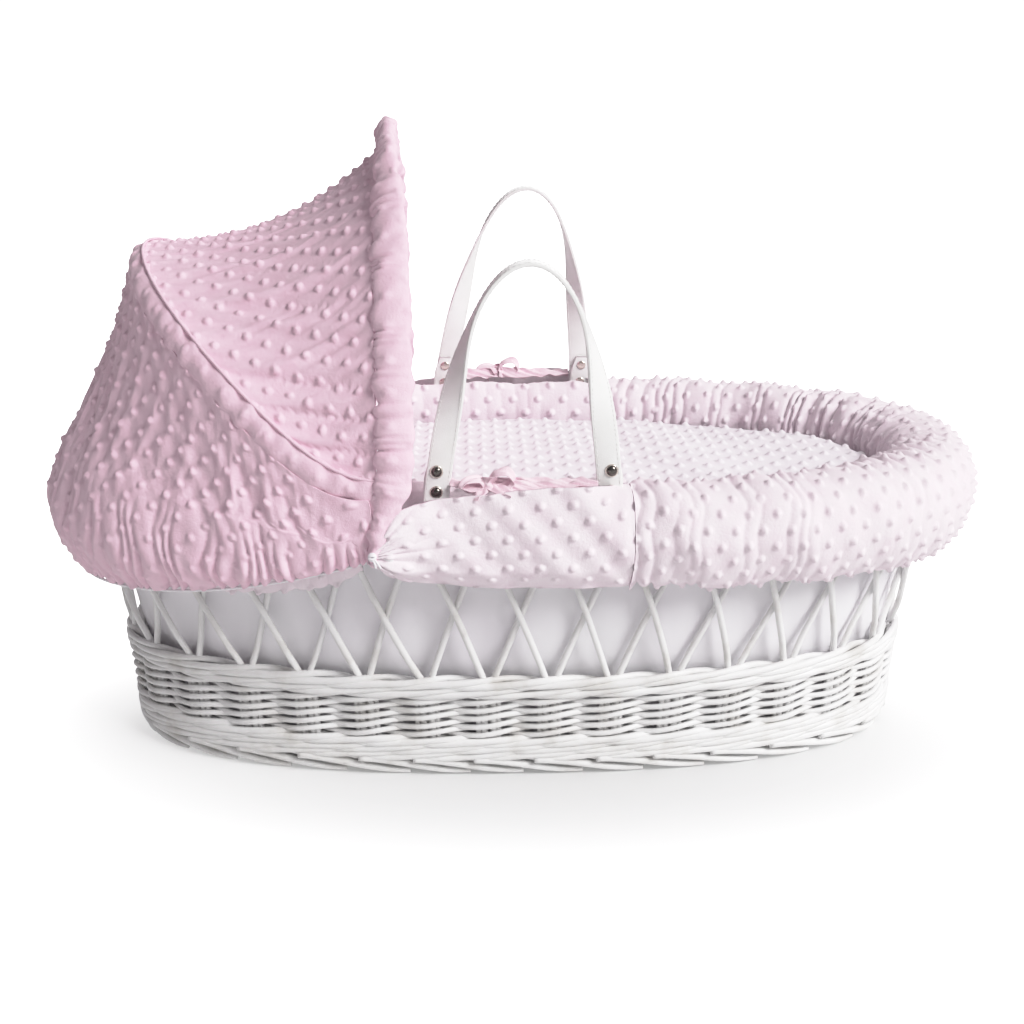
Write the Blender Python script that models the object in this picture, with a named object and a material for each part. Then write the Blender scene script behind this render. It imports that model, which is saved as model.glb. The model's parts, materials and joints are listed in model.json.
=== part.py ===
"""Moses basket: a willow basket with crossed stakes, a padded cloth liner, a folding hood on two
hoops, and two strap handles.

Frame: origin on the floor under the middle of the basket, +X to the foot end, -X to the hood,
-Y the near side, +Z up. Metres.
"""

import math

import bmesh
import bpy
import numpy as np
from mathutils import Matrix, Vector

# ---------------------------------------------------------------- driving dimensions
# Outline of the willow wall at three heights: height, half length, half width, squareness
FLOOR_Z, BAND_TOP, RIM_Z = 0.0, 0.107, 0.275
LEVELS = (
    (FLOOR_Z, 0.372, 0.147, 2.4),
    (BAND_TOP, 0.384, 0.1735, 2.2),
    (RIM_Z, 0.413, 0.2135, 2.3),
)
GAP = 0.0003
MAT_OUT, STICK_R = -0.0038, 0.0038
STICKS = (("near", -0.055, 0.315), ("middle", 0.0, 0.352), ("far", 0.055, 0.315))
STAKE_PAIRS = 32
STAKE_PHASE = 0.5
STAKE_HALF = 0.0026
WEAVE_ROWS = 6
WEAVE_THICK = 0.0046
WEAVE_BESIDE = 0.0062
RIM_R = 0.0095
FOOT_H = 0.0115
WEAVE_BOTTOM = 0.0195
LINING_OUT, LINING_IN, LINING_FLOOR_T = -0.0092, -0.0117, 0.0020
LINING_TOP = 0.231

CROWN_Z = 0.303
HEM_Z = 0.200
FOOT_BULGE = 0.039
HEAD_BULGE = 0.019
INNER_PAD_SIDE, INNER_PAD_END = 0.034, 0.046
SEAM_FOOT_X = 0.0950
SEAM_HEAD_X = -0.1400
SEAM_GAP = 0.0006
FLAP_HEAD_X = -0.0890
COVERLET_TOP, COVERLET_T, COVERLET_ROUNDING = 0.264, 0.012, 0.010
COVERLET_OUT = -0.0185
MATTRESS_Z, MATTRESS_EDGE = (0.0222, 0.0622), 0.008

RIBBON_BAND, RIBBON_KNOT = (0.104, 0.012, 0.0022), (0.013, 0.014, 0.010)
BOW_X = -0.014
BOW_LOOP_HALF_L, BOW_LOOP_HALF_H = 0.014, 0.0055
BOW_RIBBON_W, BOW_RIBBON_T = 0.010, 0.0014
CORD_X, CORD_LOOP_R, CORD_R = -0.1265, 0.0150, 0.0013

HOOP_X, HOOP_Z = -0.1145, 0.253
MID_LENGTH, FRONT_LENGTH = 0.325, 0.338
HOOP_ROD = 0.003
MID_HALF_WIDTH, FRONT_HALF_WIDTH = 0.2385, 0.2455
MID_LEAN, FRONT_LEAN = math.radians(46.9), math.radians(0.8)
FRONT_SKEW = 0.0095
CASING_R, PIPING_R = 0.011, 0.0072
SLEEVE_BORE = 0.0050
CLOTH_GAP, CLOTH_T = 0.002, 0.003
ROOF_SAG = 0.046
HEM_END_X = -0.138
HEM_CORD_R = 0.0015
EYE_R, EYE_W = 0.0060, 0.0044
PIN_R, PIN_HOLE_R = 0.0022, 0.0026

HANDLE_X = 0.001
HANDLE_HALF = 0.0754
ARCH_TOP = {"near": 0.2230, "far": 0.2370}
ARCH_LEAN = {"near": 0.006, "far": 0.018}
ARCH_TAPER = 0.07
STRAP_W, STRAP_T = 0.022, 0.0035
STRAP_LAYER = 0.0023
STRAP_TAB_TOP, STRAP_JOIN = 0.0540, 0.0195
LOOP_R = 0.0130
RIVET_HEIGHTS = (0.0255, 0.0440)
RIVET_R, RIVET_POST, RIVET_HOLE = 0.0055, 0.0017, 0.0021
RIVET_NAMES = ("head_low", "head_high", "foot_low", "foot_high")
SIDES = {"near": -1.0, "far": 1.0}


# ---------------------------------------------------------------- scene and materials
def clear_scene():
    for obj in list(bpy.data.objects):
        bpy.data.objects.remove(obj)


def material(name, colour, roughness, metallic=0.0):
    made = bpy.data.materials.get(name)
    if made is None:
        made = bpy.data.materials.new(name)
        made.use_nodes = True
        shader = made.node_tree.nodes["Principled BSDF"]
        shader.inputs["Base Color"].default_value = (*colour, 1.0)
        shader.inputs["Roughness"].default_value = roughness
        shader.inputs["Metallic"].default_value = metallic
    return made


def willow():
    return material("white_willow", (0.86, 0.85, 0.83), 0.5)


def dimple_fleece():
    return material("pink_dimple_fleece", (0.90, 0.70, 0.77), 0.9)


def white_cotton():
    return material("white_cotton", (0.88, 0.87, 0.88), 0.85)


def pink_ribbon():
    return material("pink_ribbon", (0.92, 0.62, 0.70), 0.6)


def strap_leather():
    return material("white_strap_leather", (0.88, 0.88, 0.86), 0.4)


def nickel():
    return material("nickel", (0.55, 0.53, 0.52), 0.15, 1.0)


def steel_wire():
    return material("coated_steel_wire", (0.80, 0.80, 0.80), 0.4, 0.6)


def white_plastic():
    return material("white_plastic", (0.85, 0.85, 0.85), 0.35)


# ---------------------------------------------------------------- mesh helpers
def new_object(name, bm, surface, smooth=True):
    """One closed mesh made into an object, its faces pointing out."""
    bmesh.ops.recalc_face_normals(bm, faces=bm.faces)
    mesh = bpy.data.meshes.new(name)
    bm.to_mesh(mesh)
    bm.free()
    mesh.materials.append(surface)
    if smooth:
        mesh.shade_smooth()
        mesh.set_sharp_from_angle(angle=math.radians(40))
    obj = bpy.data.objects.new(name, mesh)
    bpy.context.scene.collection.objects.link(obj)
    return obj


def skin(bm, rings, closed=False):
    """Joins rings of points, each with the same number of points, into one closed surface."""
    loops = [[bm.verts.new(p) for p in ring] for ring in rings]
    spans = list(zip(loops, loops[1:]))
    if closed:
        spans.append((loops[-1], loops[0]))
    count = len(loops[0])
    for near, far in spans:
        for i in range(count):
            j = (i + 1) % count
            bm.faces.new((near[i], near[j], far[j], far[i]))
    if not closed:
        bm.faces.new(loops[0])
        bm.faces.new(list(reversed(loops[-1])))


def lofted(name, rings, surface, closed=False):
    bm = bmesh.new()
    skin(bm, rings, closed)
    return new_object(name, bm, surface)


def boolean(obj, other, operation):
    """Adds a Boolean, and keeps the other object out of the model."""
    modifier = obj.modifiers.new(operation.lower(), "BOOLEAN")
    modifier.operation = operation
    modifier.object = other
    modifier.solver = "EXACT"
    other.hide_render = True
    other.display_type = "WIRE"


def circle(radius, count, phase=0.0):
    """Points (across, up) of a regular polygon."""
    turns = [2 * math.pi * (i + phase) / count for i in range(count)]
    return [(radius * math.cos(t), radius * math.sin(t)) for t in turns]


def tube_rings(path, section, across):
    """Rings of a section carried along a path. `across` gives each point's sideways direction."""
    rings = []
    for i, point in enumerate(path):
        before, after = path[max(i - 1, 0)], path[min(i + 1, len(path) - 1)]
        along = (after - before).normalized()
        side = across[i].normalized()
        up = along.cross(side).normalized()
        rings.append([point + side * a + up * b for a, b in section])
    return rings


def lathe(name, profile, start, axis, count, surface):
    """A solid of revolution with flat ends, from a profile of (radius, distance) points."""
    axis = axis.normalized()
    side = axis.orthogonal().normalized()
    up = axis.cross(side)
    bm = bmesh.new()
    rings = []
    for radius, distance in profile:
        middle = start + axis * distance
        ring = [middle + side * a + up * b for a, b in circle(radius, count)]
        rings.append(ring)
    skin(bm, rings)
    return new_object(name, bm, surface)


# ---------------------------------------------------------------- the basket's outline
def outline_size(z):
    """Half length, half width and squareness of the willow wall at a height."""
    low, high = (LEVELS[0], LEVELS[1]) if z <= BAND_TOP else (LEVELS[1], LEVELS[2])
    share = (z - low[0]) / (high[0] - low[0])
    return [p + (q - p) * share for p, q in zip(low[1:], high[1:])]


def outline_at_angle(angle, z, out=0.0):
    """The wall's point at an angle, moved outwards square to the wall."""
    a, b, n = outline_size(z)
    c, s = math.cos(angle), math.sin(angle)
    reach = (abs(c) ** n + abs(s) ** n) ** (-1 / n)
    x, y = reach * c, reach * s
    normal = Vector((math.copysign(abs(x) ** (n - 1), x) / a, math.copysign(abs(y) ** (n - 1), y) / b))
    normal.normalize()
    return Vector((a * x + out * normal.x, b * y + out * normal.y, z))


TABLE_ANGLES = np.linspace(0.0, 2 * math.pi, 721)
TABLE_POINTS = np.array([outline_at_angle(t, BAND_TOP)[:2] for t in TABLE_ANGLES])
TABLE_STEPS = np.linalg.norm(np.diff(TABLE_POINTS, axis=0), axis=1)
TABLE_TURNS = np.concatenate(([0.0], np.cumsum(TABLE_STEPS))) / TABLE_STEPS.sum()


def wall(turn, z, out=0.0):
    """The wall's point at a share of the way round, counted from the foot end past the far side."""
    angle = float(np.interp(turn % 1.0, TABLE_TURNS, TABLE_ANGLES))
    return outline_at_angle(angle, z, out)


def rim_point(turn, out, z):
    """A point of a soft piece: `out` from the rim's centre line, at height z."""
    flat = wall(turn, RIM_Z, out)
    return Vector((flat.x, flat.y, z))


def turn_at_x(x, side):
    """Where a long side's rim passes x: the far side is round turn 0.25, the near side 0.75."""
    middle = 0.25 if SIDES[side] > 0 else 0.75
    tries = np.linspace(middle - 0.2, middle + 0.2, 801)
    return float(min(tries, key=lambda t: abs(wall(t, RIM_Z).x - x)))


def oval_ring(z, out, count):
    return [wall(i / count, z, out) for i in range(count)]


# ---------------------------------------------------------------- willow basket
def base_mat():
    rings = [oval_ring(z, MAT_OUT, 56) for z in (FOOT_H + GAP, WEAVE_BOTTOM - 4 * GAP)]
    lofted("base_mat", rings, willow())


def base_sticks():
    """Three long sticks that stiffen the base, lying in the foot ring under the mat."""
    for name, y, half in STICKS:
        path = [Vector((x, y, FOOT_H - STICK_R)) for x in (-half, half)]
        rings = tube_rings(path, circle(STICK_R, 8), [Vector((0, 1, 0))] * 2)
        lofted(f"base_stick_{name}", rings, willow())


def foot_border():
    """The plaited foot, as a ring that the base and the stakes stand on."""
    section = (
        (0.0060, 0.0045),
        (0.0040, 0.0000),
        (-0.0090, 0.0000),
        (-0.0130, 0.0045),
        (-0.0110, FOOT_H),
        (0.0045, FOOT_H),
    )
    count = 56
    rings = [[wall(i / count, z, out) for out, z in section] for i in range(count)]
    lofted("foot_border", rings, willow(), closed=True)


def weave_rows():
    """Rods woven in front of and behind the stake pairs, each row opposite to the one under it."""
    pitch = (BAND_TOP - WEAVE_BOTTOM) / WEAVE_ROWS
    swing = STAKE_HALF + WEAVE_THICK / 2 + 2 * GAP
    half_h = pitch / 2 - GAP
    for row in range(WEAVE_ROWS):
        z = WEAVE_BOTTOM + (row + 0.5) * pitch
        rings = []
        for pair in range(STAKE_PAIRS):
            out = swing if (pair + row) % 2 else -swing
            for shift in (-WEAVE_BESIDE, WEAVE_BESIDE):
                middle = (pair + STAKE_PHASE) / STAKE_PAIRS
                rings.append(rod_section(middle, shift, z, out, half_h))
        lofted(f"weave_row_{row + 1:02d}", rings, willow(), closed=True)


def rod_section(turn, shift, z, out, half_h):
    """A woven rod's upright section beside a stake pair, shifted along the wall there."""
    tangent = (wall(turn + 0.001, z) - wall(turn - 0.001, z)).normalized()
    half_t = WEAVE_THICK / 2
    corners = ((-half_t, -half_h), (half_t, -half_h), (half_t, half_h), (-half_t, half_h))
    points = []
    for across, up in corners:
        height = z + up
        points.append(wall(turn, height, out + across) + tangent * shift)
    return points


def stake_path(pair, lean):
    """A stake: upright through the weave, then leaning one pair along to reach the rim."""
    start = (pair + STAKE_PHASE) / STAKE_PAIRS
    beside = STAKE_HALF - 0.0001
    points = []
    for z in (FOOT_H + GAP, BAND_TOP):
        tangent = (wall(start + 0.001, z) - wall(start - 0.001, z)).normalized()
        points.append(wall(start, z) + tangent * beside * lean)
    top = RIM_Z - RIM_R - 2 * GAP
    steps = 2
    for i in range(1, steps + 1):
        share = i / steps
        z = BAND_TOP + (top - BAND_TOP) * share
        turn = start + lean * share / STAKE_PAIRS
        points.append(wall(turn, z, -lean * (STAKE_HALF - GAP)))
    return points


def stake_set(lean):
    """Every second stake: those that lean to one side."""
    bm = bmesh.new()
    half = STAKE_HALF
    section = ((-half, -half), (half, -half), (half, half), (-half, half))
    for pair in range(STAKE_PAIRS):
        path = stake_path(pair, lean)
        side = wall((pair + STAKE_PHASE) / STAKE_PAIRS, BAND_TOP, 1.0)
        outward = (side - wall((pair + STAKE_PHASE) / STAKE_PAIRS, BAND_TOP)).normalized()
        skin(bm, tube_rings(path, section, [outward] * len(path)))
    return new_object(f"stakes_leaning_{'on' if lean > 0 else 'back'}", bm, willow())


def crossed_stakes():
    cage = stake_set(-1.0)
    cage.name = "crossed_stakes"
    boolean(cage, stake_set(1.0), "UNION")


def rim_border():
    count = 52
    rings = []
    for i in range(count):
        rings.append([rim_point(i / count, a, RIM_Z + b) for a, b in circle(RIM_R, 8, 0.5)])
    lofted("rim_border", rings, willow(), closed=True)


# ---------------------------------------------------------------- liner and bedding
def lining():
    """The white cloth bucket inside the willow."""
    count = 48
    bottom = WEAVE_BOTTOM - 2 * GAP
    outer = [oval_ring(z, LINING_OUT, count) for z in (bottom, BAND_TOP, LINING_TOP)]
    inner = [oval_ring(z, LINING_IN, count) for z in (LINING_TOP, BAND_TOP, bottom + LINING_FLOOR_T)]
    lofted("lining", outer + inner, white_cotton())


def mattress():
    low, high = MATTRESS_Z
    rows = (
        (low, -0.020),
        (low + MATTRESS_EDGE, -0.014),
        (high - MATTRESS_EDGE, -0.014),
        (high, -0.022),
    )
    rings = [oval_ring(z, out, 48) for z, out in rows]
    lofted("mattress", rings, white_cotton())


def pad_inward(turn):
    """How far the inner padding stands in from the rim: more at the two ends."""
    end = abs(math.cos(2 * math.pi * turn)) ** 3
    return INNER_PAD_SIDE + (INNER_PAD_END - INNER_PAD_SIDE) * end


def coverlet():
    """The quilt: a padded sheet over the mattress, its sides hanging down to it."""
    count = 48
    low = MATTRESS_Z[1] + GAP
    foot = oval_ring(low, COVERLET_OUT, count)
    head = [rim_point(i / count, -pad_inward(i / count) - 0.004, COVERLET_TOP) for i in range(count)]

    def ring(z, inset):
        share = (z - low) / (COVERLET_TOP - low)
        points = []
        for below, above in zip(foot, head):
            point = below.lerp(above, share)
            scale = 1 - inset / Vector((point.x, point.y)).length
            points.append(Vector((point.x * scale, point.y * scale, z)))
        return points

    ceiling = COVERLET_TOP - COVERLET_T
    rings = [ring(ceiling, COVERLET_T), ring(low, COVERLET_T), ring(low, 0.0)]
    rings += [ring(COVERLET_TOP - COVERLET_ROUNDING, 0.0), ring(COVERLET_TOP, COVERLET_ROUNDING)]
    lofted("coverlet", rings, dimple_fleece())


def hem_edge(turn):
    """Height of the skirt's hem, a little lower round the ends."""
    return HEM_Z - 0.008 * abs(math.cos(2 * math.pi * turn)) ** 2


def bumper_section(turn, bulge, crown):
    """The padding over the rim: an upside-down U, listed as (out, height)."""
    inner = pad_inward(turn)
    hem = hem_edge(turn)
    return (
        (0.0040, hem),
        (bulge * 0.66, hem + 0.024),
        (bulge, 0.256),
        (bulge * 0.86, 0.284),
        (bulge * 0.45, crown - 0.003),
        (-0.010, crown),
        (-inner * 0.75, crown - 0.010),
        (-inner, 0.264),
        (-inner + 0.004, 0.237),
        (-0.0195, 0.237),
        (-0.0125, 0.262),
        (-0.0120, 0.282),
        (-0.0050, 0.2868),
        (0.0050, 0.2868),
        (0.0120, 0.282),
        (0.0125, 0.262),
        (0.0030, 0.225),
        (-0.0025, hem),
    )


def bumper(name, first, last, bulge, crown, stations):
    rings = []
    for i in range(stations + 1):
        turn = first + (last - first) * i / stations
        rings.append([rim_point(turn, out, z) for out, z in bumper_section(turn, bulge, crown)])
    lofted(name, rings, dimple_fleece())


def bumpers():
    foot_first = turn_at_x(SEAM_FOOT_X, "near")
    foot_last = 1.0 + turn_at_x(SEAM_FOOT_X, "far")
    bumper("bumper_foot", foot_first, foot_last, FOOT_BULGE, CROWN_Z, 28)
    head_first, head_last = turn_at_x(SEAM_HEAD_X, "far"), turn_at_x(SEAM_HEAD_X, "near")
    bumper("bumper_head", head_first, head_last, HEAD_BULGE, CROWN_Z - 0.003, 28)


def side_strip(name, side, head_x, foot_x, section):
    """A straight-ish piece along one long side, between two places along X."""
    first, last = turn_at_x(head_x, side), turn_at_x(foot_x, side)
    steps = 8
    turns = [first + (last - first) * i / steps for i in range(steps + 1)]
    rings = [[rim_point(turn, out, z) for out, z in section] for turn in turns]
    lofted(name, rings, dimple_fleece())


def side_flaps():
    """The outer cloth between the handles' legs, hanging outside the rim."""
    section = (
        (0.0030, 0.2055),
        (0.0080, 0.2040),
        (0.0240, 0.2240),
        (0.0300, 0.2550),
        (0.0300, 0.2850),
        (0.0265, 0.3030),
        (0.0195, 0.3030),
        (0.0225, 0.2850),
        (0.0225, 0.2550),
        (0.0180, 0.2290),
    )
    for side in SIDES:
        side_strip(f"side_flap_{side}", side, FLAP_HEAD_X, SEAM_FOOT_X - SEAM_GAP, section)


def inner_panels():
    """The padding inside the rim between the handles' legs."""
    section = (
        (-0.0205, 0.2370),
        (-INNER_PAD_SIDE + 0.002, 0.2370),
        (-INNER_PAD_SIDE, 0.2640),
        (-0.0320, 0.2920),
        (-0.0250, 0.3020),
        (-0.0185, 0.3000),
        (-0.0165, 0.2900),
        (-0.0165, 0.2600),
    )
    for side in SIDES:
        side_strip(f"inner_panel_{side}", side, SEAM_HEAD_X + 3 * SEAM_GAP, SEAM_FOOT_X - SEAM_GAP, section)


def ribbons():
    """The bow that ties the flap to the inner panel: a band, a knot and two loops."""
    for side in SIDES:
        y = wall(turn_at_x(HANDLE_X, side), RIM_Z, 0.004).y
        z = CROWN_Z + 0.004
        band = box_object(f"ribbon_{side}", (0.0, y, z), RIBBON_BAND, pink_ribbon())
        knot = box_object(f"ribbon_knot_{side}", (BOW_X, y, z + 0.004), RIBBON_KNOT, pink_ribbon())
        boolean(band, knot, "UNION")
        for direction in (-1.0, 1.0):
            loop = bow_loop(side, Vector((BOW_X, y, z + 0.005)), direction)
            boolean(band, loop, "UNION")


def box_object(name, middle, size, surface):
    bm = bmesh.new()
    bmesh.ops.create_cube(bm, size=1.0)
    bmesh.ops.scale(bm, vec=size, verts=bm.verts)
    bmesh.ops.translate(bm, vec=middle, verts=bm.verts)
    return new_object(name, bm, surface, smooth=False)


def bow_loop(side, knot, direction):
    """One loop of a bow: a flat ribbon bent into a long ring beside the knot."""
    middle = knot + Vector((direction * (BOW_LOOP_HALF_L + 0.003), 0.0, BOW_LOOP_HALF_H - 0.001))
    count = 12
    rings = []
    for i in range(count):
        turn = 2 * math.pi * i / count
        ring = []
        for grow, across in ((0, -1), (BOW_RIBBON_T, -1), (BOW_RIBBON_T, 1), (0, 1)):
            x = (BOW_LOOP_HALF_L + grow) * math.cos(turn)
            z = (BOW_LOOP_HALF_H + grow) * math.sin(turn)
            ring.append(middle + Vector((x, across * BOW_RIBBON_W / 2, z)))
        rings.append(ring)
    return lofted(f"bow_loop_{side}_{'foot' if direction > 0 else 'head'}", rings, pink_ribbon(), True)


def tie_cords():
    """An elastic loop round the rim on each side, where skirt and hood are drawn together."""
    for side, sign in SIDES.items():
        middle = wall(turn_at_x(CORD_X, side), RIM_Z)
        middle.z = RIM_Z - 0.002
        rings = []
        for i in range(16):
            turn = 2 * math.pi * i / 16
            out = Vector((0.0, sign * math.cos(turn), math.sin(turn)))
            section = circle(CORD_R, 6)
            rings.append([middle + out * (CORD_LOOP_R + a) + Vector((b, 0, 0)) for a, b in section])
        lofted(f"tie_cord_{side}", rings, white_cotton(), closed=True)


# ---------------------------------------------------------------- hood
HOOPS = {
    "mid": (MID_LEAN, MID_HALF_WIDTH, MID_LENGTH, 0.0),
    "front": (FRONT_LEAN, FRONT_HALF_WIDTH, FRONT_LENGTH, FRONT_SKEW),
}


def hoop_point(angle, which):
    """A hoop's point: angle 0 at the near pivot, pi at the far one; lean is back from upright.

    The front hoop's wire is bent a little forward on the near side and back on the far side.
    """
    lean, half_width, length, skew = HOOPS[which]
    rise = math.sin(angle)
    bend = skew * math.cos(angle) * (1 - (1 - rise) ** 6)
    x = HOOP_X - length * rise * math.sin(lean) + bend
    return Vector((x, -half_width * math.cos(angle), HOOP_Z + length * rise * math.cos(lean)))


def hoop_across(lean):
    """Square to the hoop's plane."""
    return Vector((-math.cos(lean), 0.0, -math.sin(lean)))


def hoop(which):
    """A bent wire with an eye at each end, turning on the two pivot pins."""
    name = f"{which}_hoop"
    lean, half_width, length, _ = HOOPS[which]
    steps = 26
    first = math.asin(0.0045 / length)
    angles = [first + (math.pi - 2 * first) * i / steps for i in range(steps + 1)]
    path = [hoop_point(a, which) for a in angles]
    across = [hoop_across(lean)] * len(path)
    wire = lofted(name, tube_rings(path, circle(HOOP_ROD, 6), across), steel_wire())
    for sign in (-1.0, 1.0):
        start = Vector((HOOP_X, sign * half_width - EYE_W / 2, HOOP_Z))
        eye = cylinder(f"{name}_eye", start, Vector((0, 1, 0)), EYE_R, EYE_W, 12)
        boolean(wire, eye, "UNION")
    for sign in (-1.0, 1.0):
        start = Vector((HOOP_X, sign * half_width - 0.010, HOOP_Z))
        bore = cylinder(f"{name}_bore", start, Vector((0, 1, 0)), PIN_HOLE_R, 0.020, 12)
        boolean(wire, bore, "DIFFERENCE")


def cylinder(name, start, axis, radius, length, count):
    return lathe(name, ((radius, 0), (radius, length)), start, axis, count, white_plastic())


def pivot_brackets():
    """A saddle over the rim on each side, with the stud that both hoops turn on."""
    half_x = 0.0045
    inner = RIM_R + 0.0013
    outer = inner + 0.0018
    arc = [math.radians(d) for d in (180, 150, 120, 90, 60, 30, 0)]
    tongue_z = HOOP_Z - RIM_Z - 0.0075
    for side, sign in SIDES.items():
        rim = wall(turn_at_x(HOOP_X, side), RIM_Z)
        outside = [(inner * math.cos(t), inner * math.sin(t)) for t in arc] + [(inner, tongue_z)]
        inside = [(outer * math.cos(t), outer * math.sin(t)) for t in arc] + [(outer, tongue_z)]
        section = outside + list(reversed(inside))
        rings = []
        for x in (HOOP_X - half_x, HOOP_X + half_x):
            rings.append([Vector((x, rim.y + sign * out, RIM_Z + up)) for out, up in section])
        bracket = lofted(f"pivot_bracket_{side}", rings, white_plastic())
        start = Vector((HOOP_X, rim.y + sign * (inner + 0.0002), HOOP_Z))
        reach = FRONT_HALF_WIDTH + 0.0072 - abs(start.y)
        stud = cylinder(f"pivot_stud_{side}", start, Vector((0, sign, 0)), PIN_R, reach, 12)
        boolean(bracket, stud, "UNION")


def hoop_caps():
    """A push-on cap on each stud, outside the hoops."""
    for side, sign in SIDES.items():
        start = Vector((HOOP_X, sign * (FRONT_HALF_WIDTH + HOOP_ROD + 2 * GAP), HOOP_Z))
        profile = ((0.0052, 0), (0.0058, 0.0030), (0.0044, 0.0060), (0.0020, 0.0070))
        cap = lathe(f"hoop_cap_{side}", profile, start, Vector((0, sign, 0)), 12, white_plastic())
        bore_start = start - Vector((0, sign * 0.002, 0))
        bore = cylinder(f"cap_bore_{side}", bore_start, Vector((0, sign, 0)), PIN_R + GAP, 0.0070, 12)
        boolean(cap, bore, "DIFFERENCE")


def hood_angles(first_degrees, steps):
    """Angles along a hoop, starting and ending the same way above its two pivots."""
    first = math.radians(first_degrees)
    return [first + (math.pi - 2 * first) * i / steps for i in range(steps + 1)]


def sleeve(name, which, radius, first_degrees, surface):
    """A cloth tube sewn round a hoop, open at both ends."""
    path = [hoop_point(a, which) for a in hood_angles(first_degrees, 18)]
    across = [hoop_across(HOOPS[which][0])] * len(path)
    outer = tube_rings(path, circle(radius, 8), across)
    inner = tube_rings(path, circle(SLEEVE_BORE, 8), across)
    bm = bmesh.new()
    rings = outer + list(reversed(inner))
    skin(bm, rings, closed=True)
    return new_object(name, bm, surface)


def sheet(name, rows, thickness, surface):
    """A cloth panel: rows of points offset both ways along their normals into a thin shell."""
    grid = np.array([[tuple(p) for p in row] for row in rows])
    along = np.gradient(grid, axis=0)
    across = np.gradient(grid, axis=1)
    normal = np.cross(along, across)
    normal /= np.linalg.norm(normal, axis=2, keepdims=True)
    front, back = grid + normal * thickness / 2, grid - normal * thickness / 2
    rings = []
    for i in range(grid.shape[0]):
        ring = list(front[i]) + list(back[i][::-1])
        rings.append([Vector(p) for p in ring])
    return lofted(name, rings, surface)


def hood_roof():
    """The cloth between the middle hoop and the front hoop, sagging along its ridge."""
    shares = [i / 8 for i in range(9)]
    rows = []
    axis_point = Vector((HOOP_X, 0.0, HOOP_Z))
    for angle in hood_angles(14, 18):
        mid = hoop_point(angle, "mid")
        mid -= hoop_across(MID_LEAN) * (PIPING_R + CLOTH_GAP)
        front = hoop_point(angle, "front")
        front += hoop_across(FRONT_LEAN) * (CASING_R + CLOTH_GAP)
        row = []
        for share in shares:
            point = mid.lerp(front, share)
            towards = Vector((axis_point.x - point.x, 0.0, axis_point.z - point.z)).normalized()
            sag = ROOF_SAG * math.sin(angle) ** 3 * math.sin(math.pi * share ** 1.35)
            row.append(point + towards * sag)
        rows.append(row)
    sheet("hood_roof", rows, CLOTH_T, dimple_fleece())


def hood_hem_point(share, down=0.0):
    """The hood's hem round the head end, share 0 at the near side and 1 at the far side."""
    near, far = turn_at_x(HEM_END_X, "near"), turn_at_x(HEM_END_X, "far")
    turn = near + (far - near) * share
    climb = abs(2 * share - 1) ** 2.2
    return rim_point(turn, 0.014 + 0.011 * climb, 0.187 + down + 0.058 * climb)


def hood_rear():
    """The cloth from the middle hoop down over the head end, drawn in at its hem."""
    near, far = turn_at_x(HEM_END_X, "near"), turn_at_x(HEM_END_X, "far")
    rows = []
    angles = hood_angles(16, 22)
    for i, angle in enumerate(angles):
        share = i / (len(angles) - 1)
        turn = near + (far - near) * share
        middle = 1 - abs(2 * share - 1) ** 3
        top = hoop_point(angle, "mid")
        top += hoop_across(MID_LEAN) * (PIPING_R + CLOTH_GAP)
        wide = rim_point(turn, 0.0325 + 0.005 * middle, 0.258)
        hem = hood_hem_point(share)
        low = rim_point(turn, 0.028 + 0.004 * middle, (wide.z + hem.z) / 2)
        upper = [top.lerp(wide, part) for part in (0.0, 0.33, 0.66, 1.0)]
        rows.append(upper + [low, hem])
    sheet("hood_rear", rows, CLOTH_T, dimple_fleece())


def hem_elastic():
    """The elastic cord in the hood's hem."""
    steps = 24
    path = [hood_hem_point(i / steps, -0.0035) for i in range(steps + 1)]
    across = [Vector((0, 0, 1))] * len(path)
    lofted("hem_elastic", tube_rings(path, circle(HEM_CORD_R, 6), across), white_cotton())


# ---------------------------------------------------------------- handles
def handle_y(side):
    """Distance of the rim's centre line from the middle where a strap's legs loop round it."""
    return abs(wall(turn_at_x(HANDLE_HALF, side), RIM_Z).y)


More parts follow.
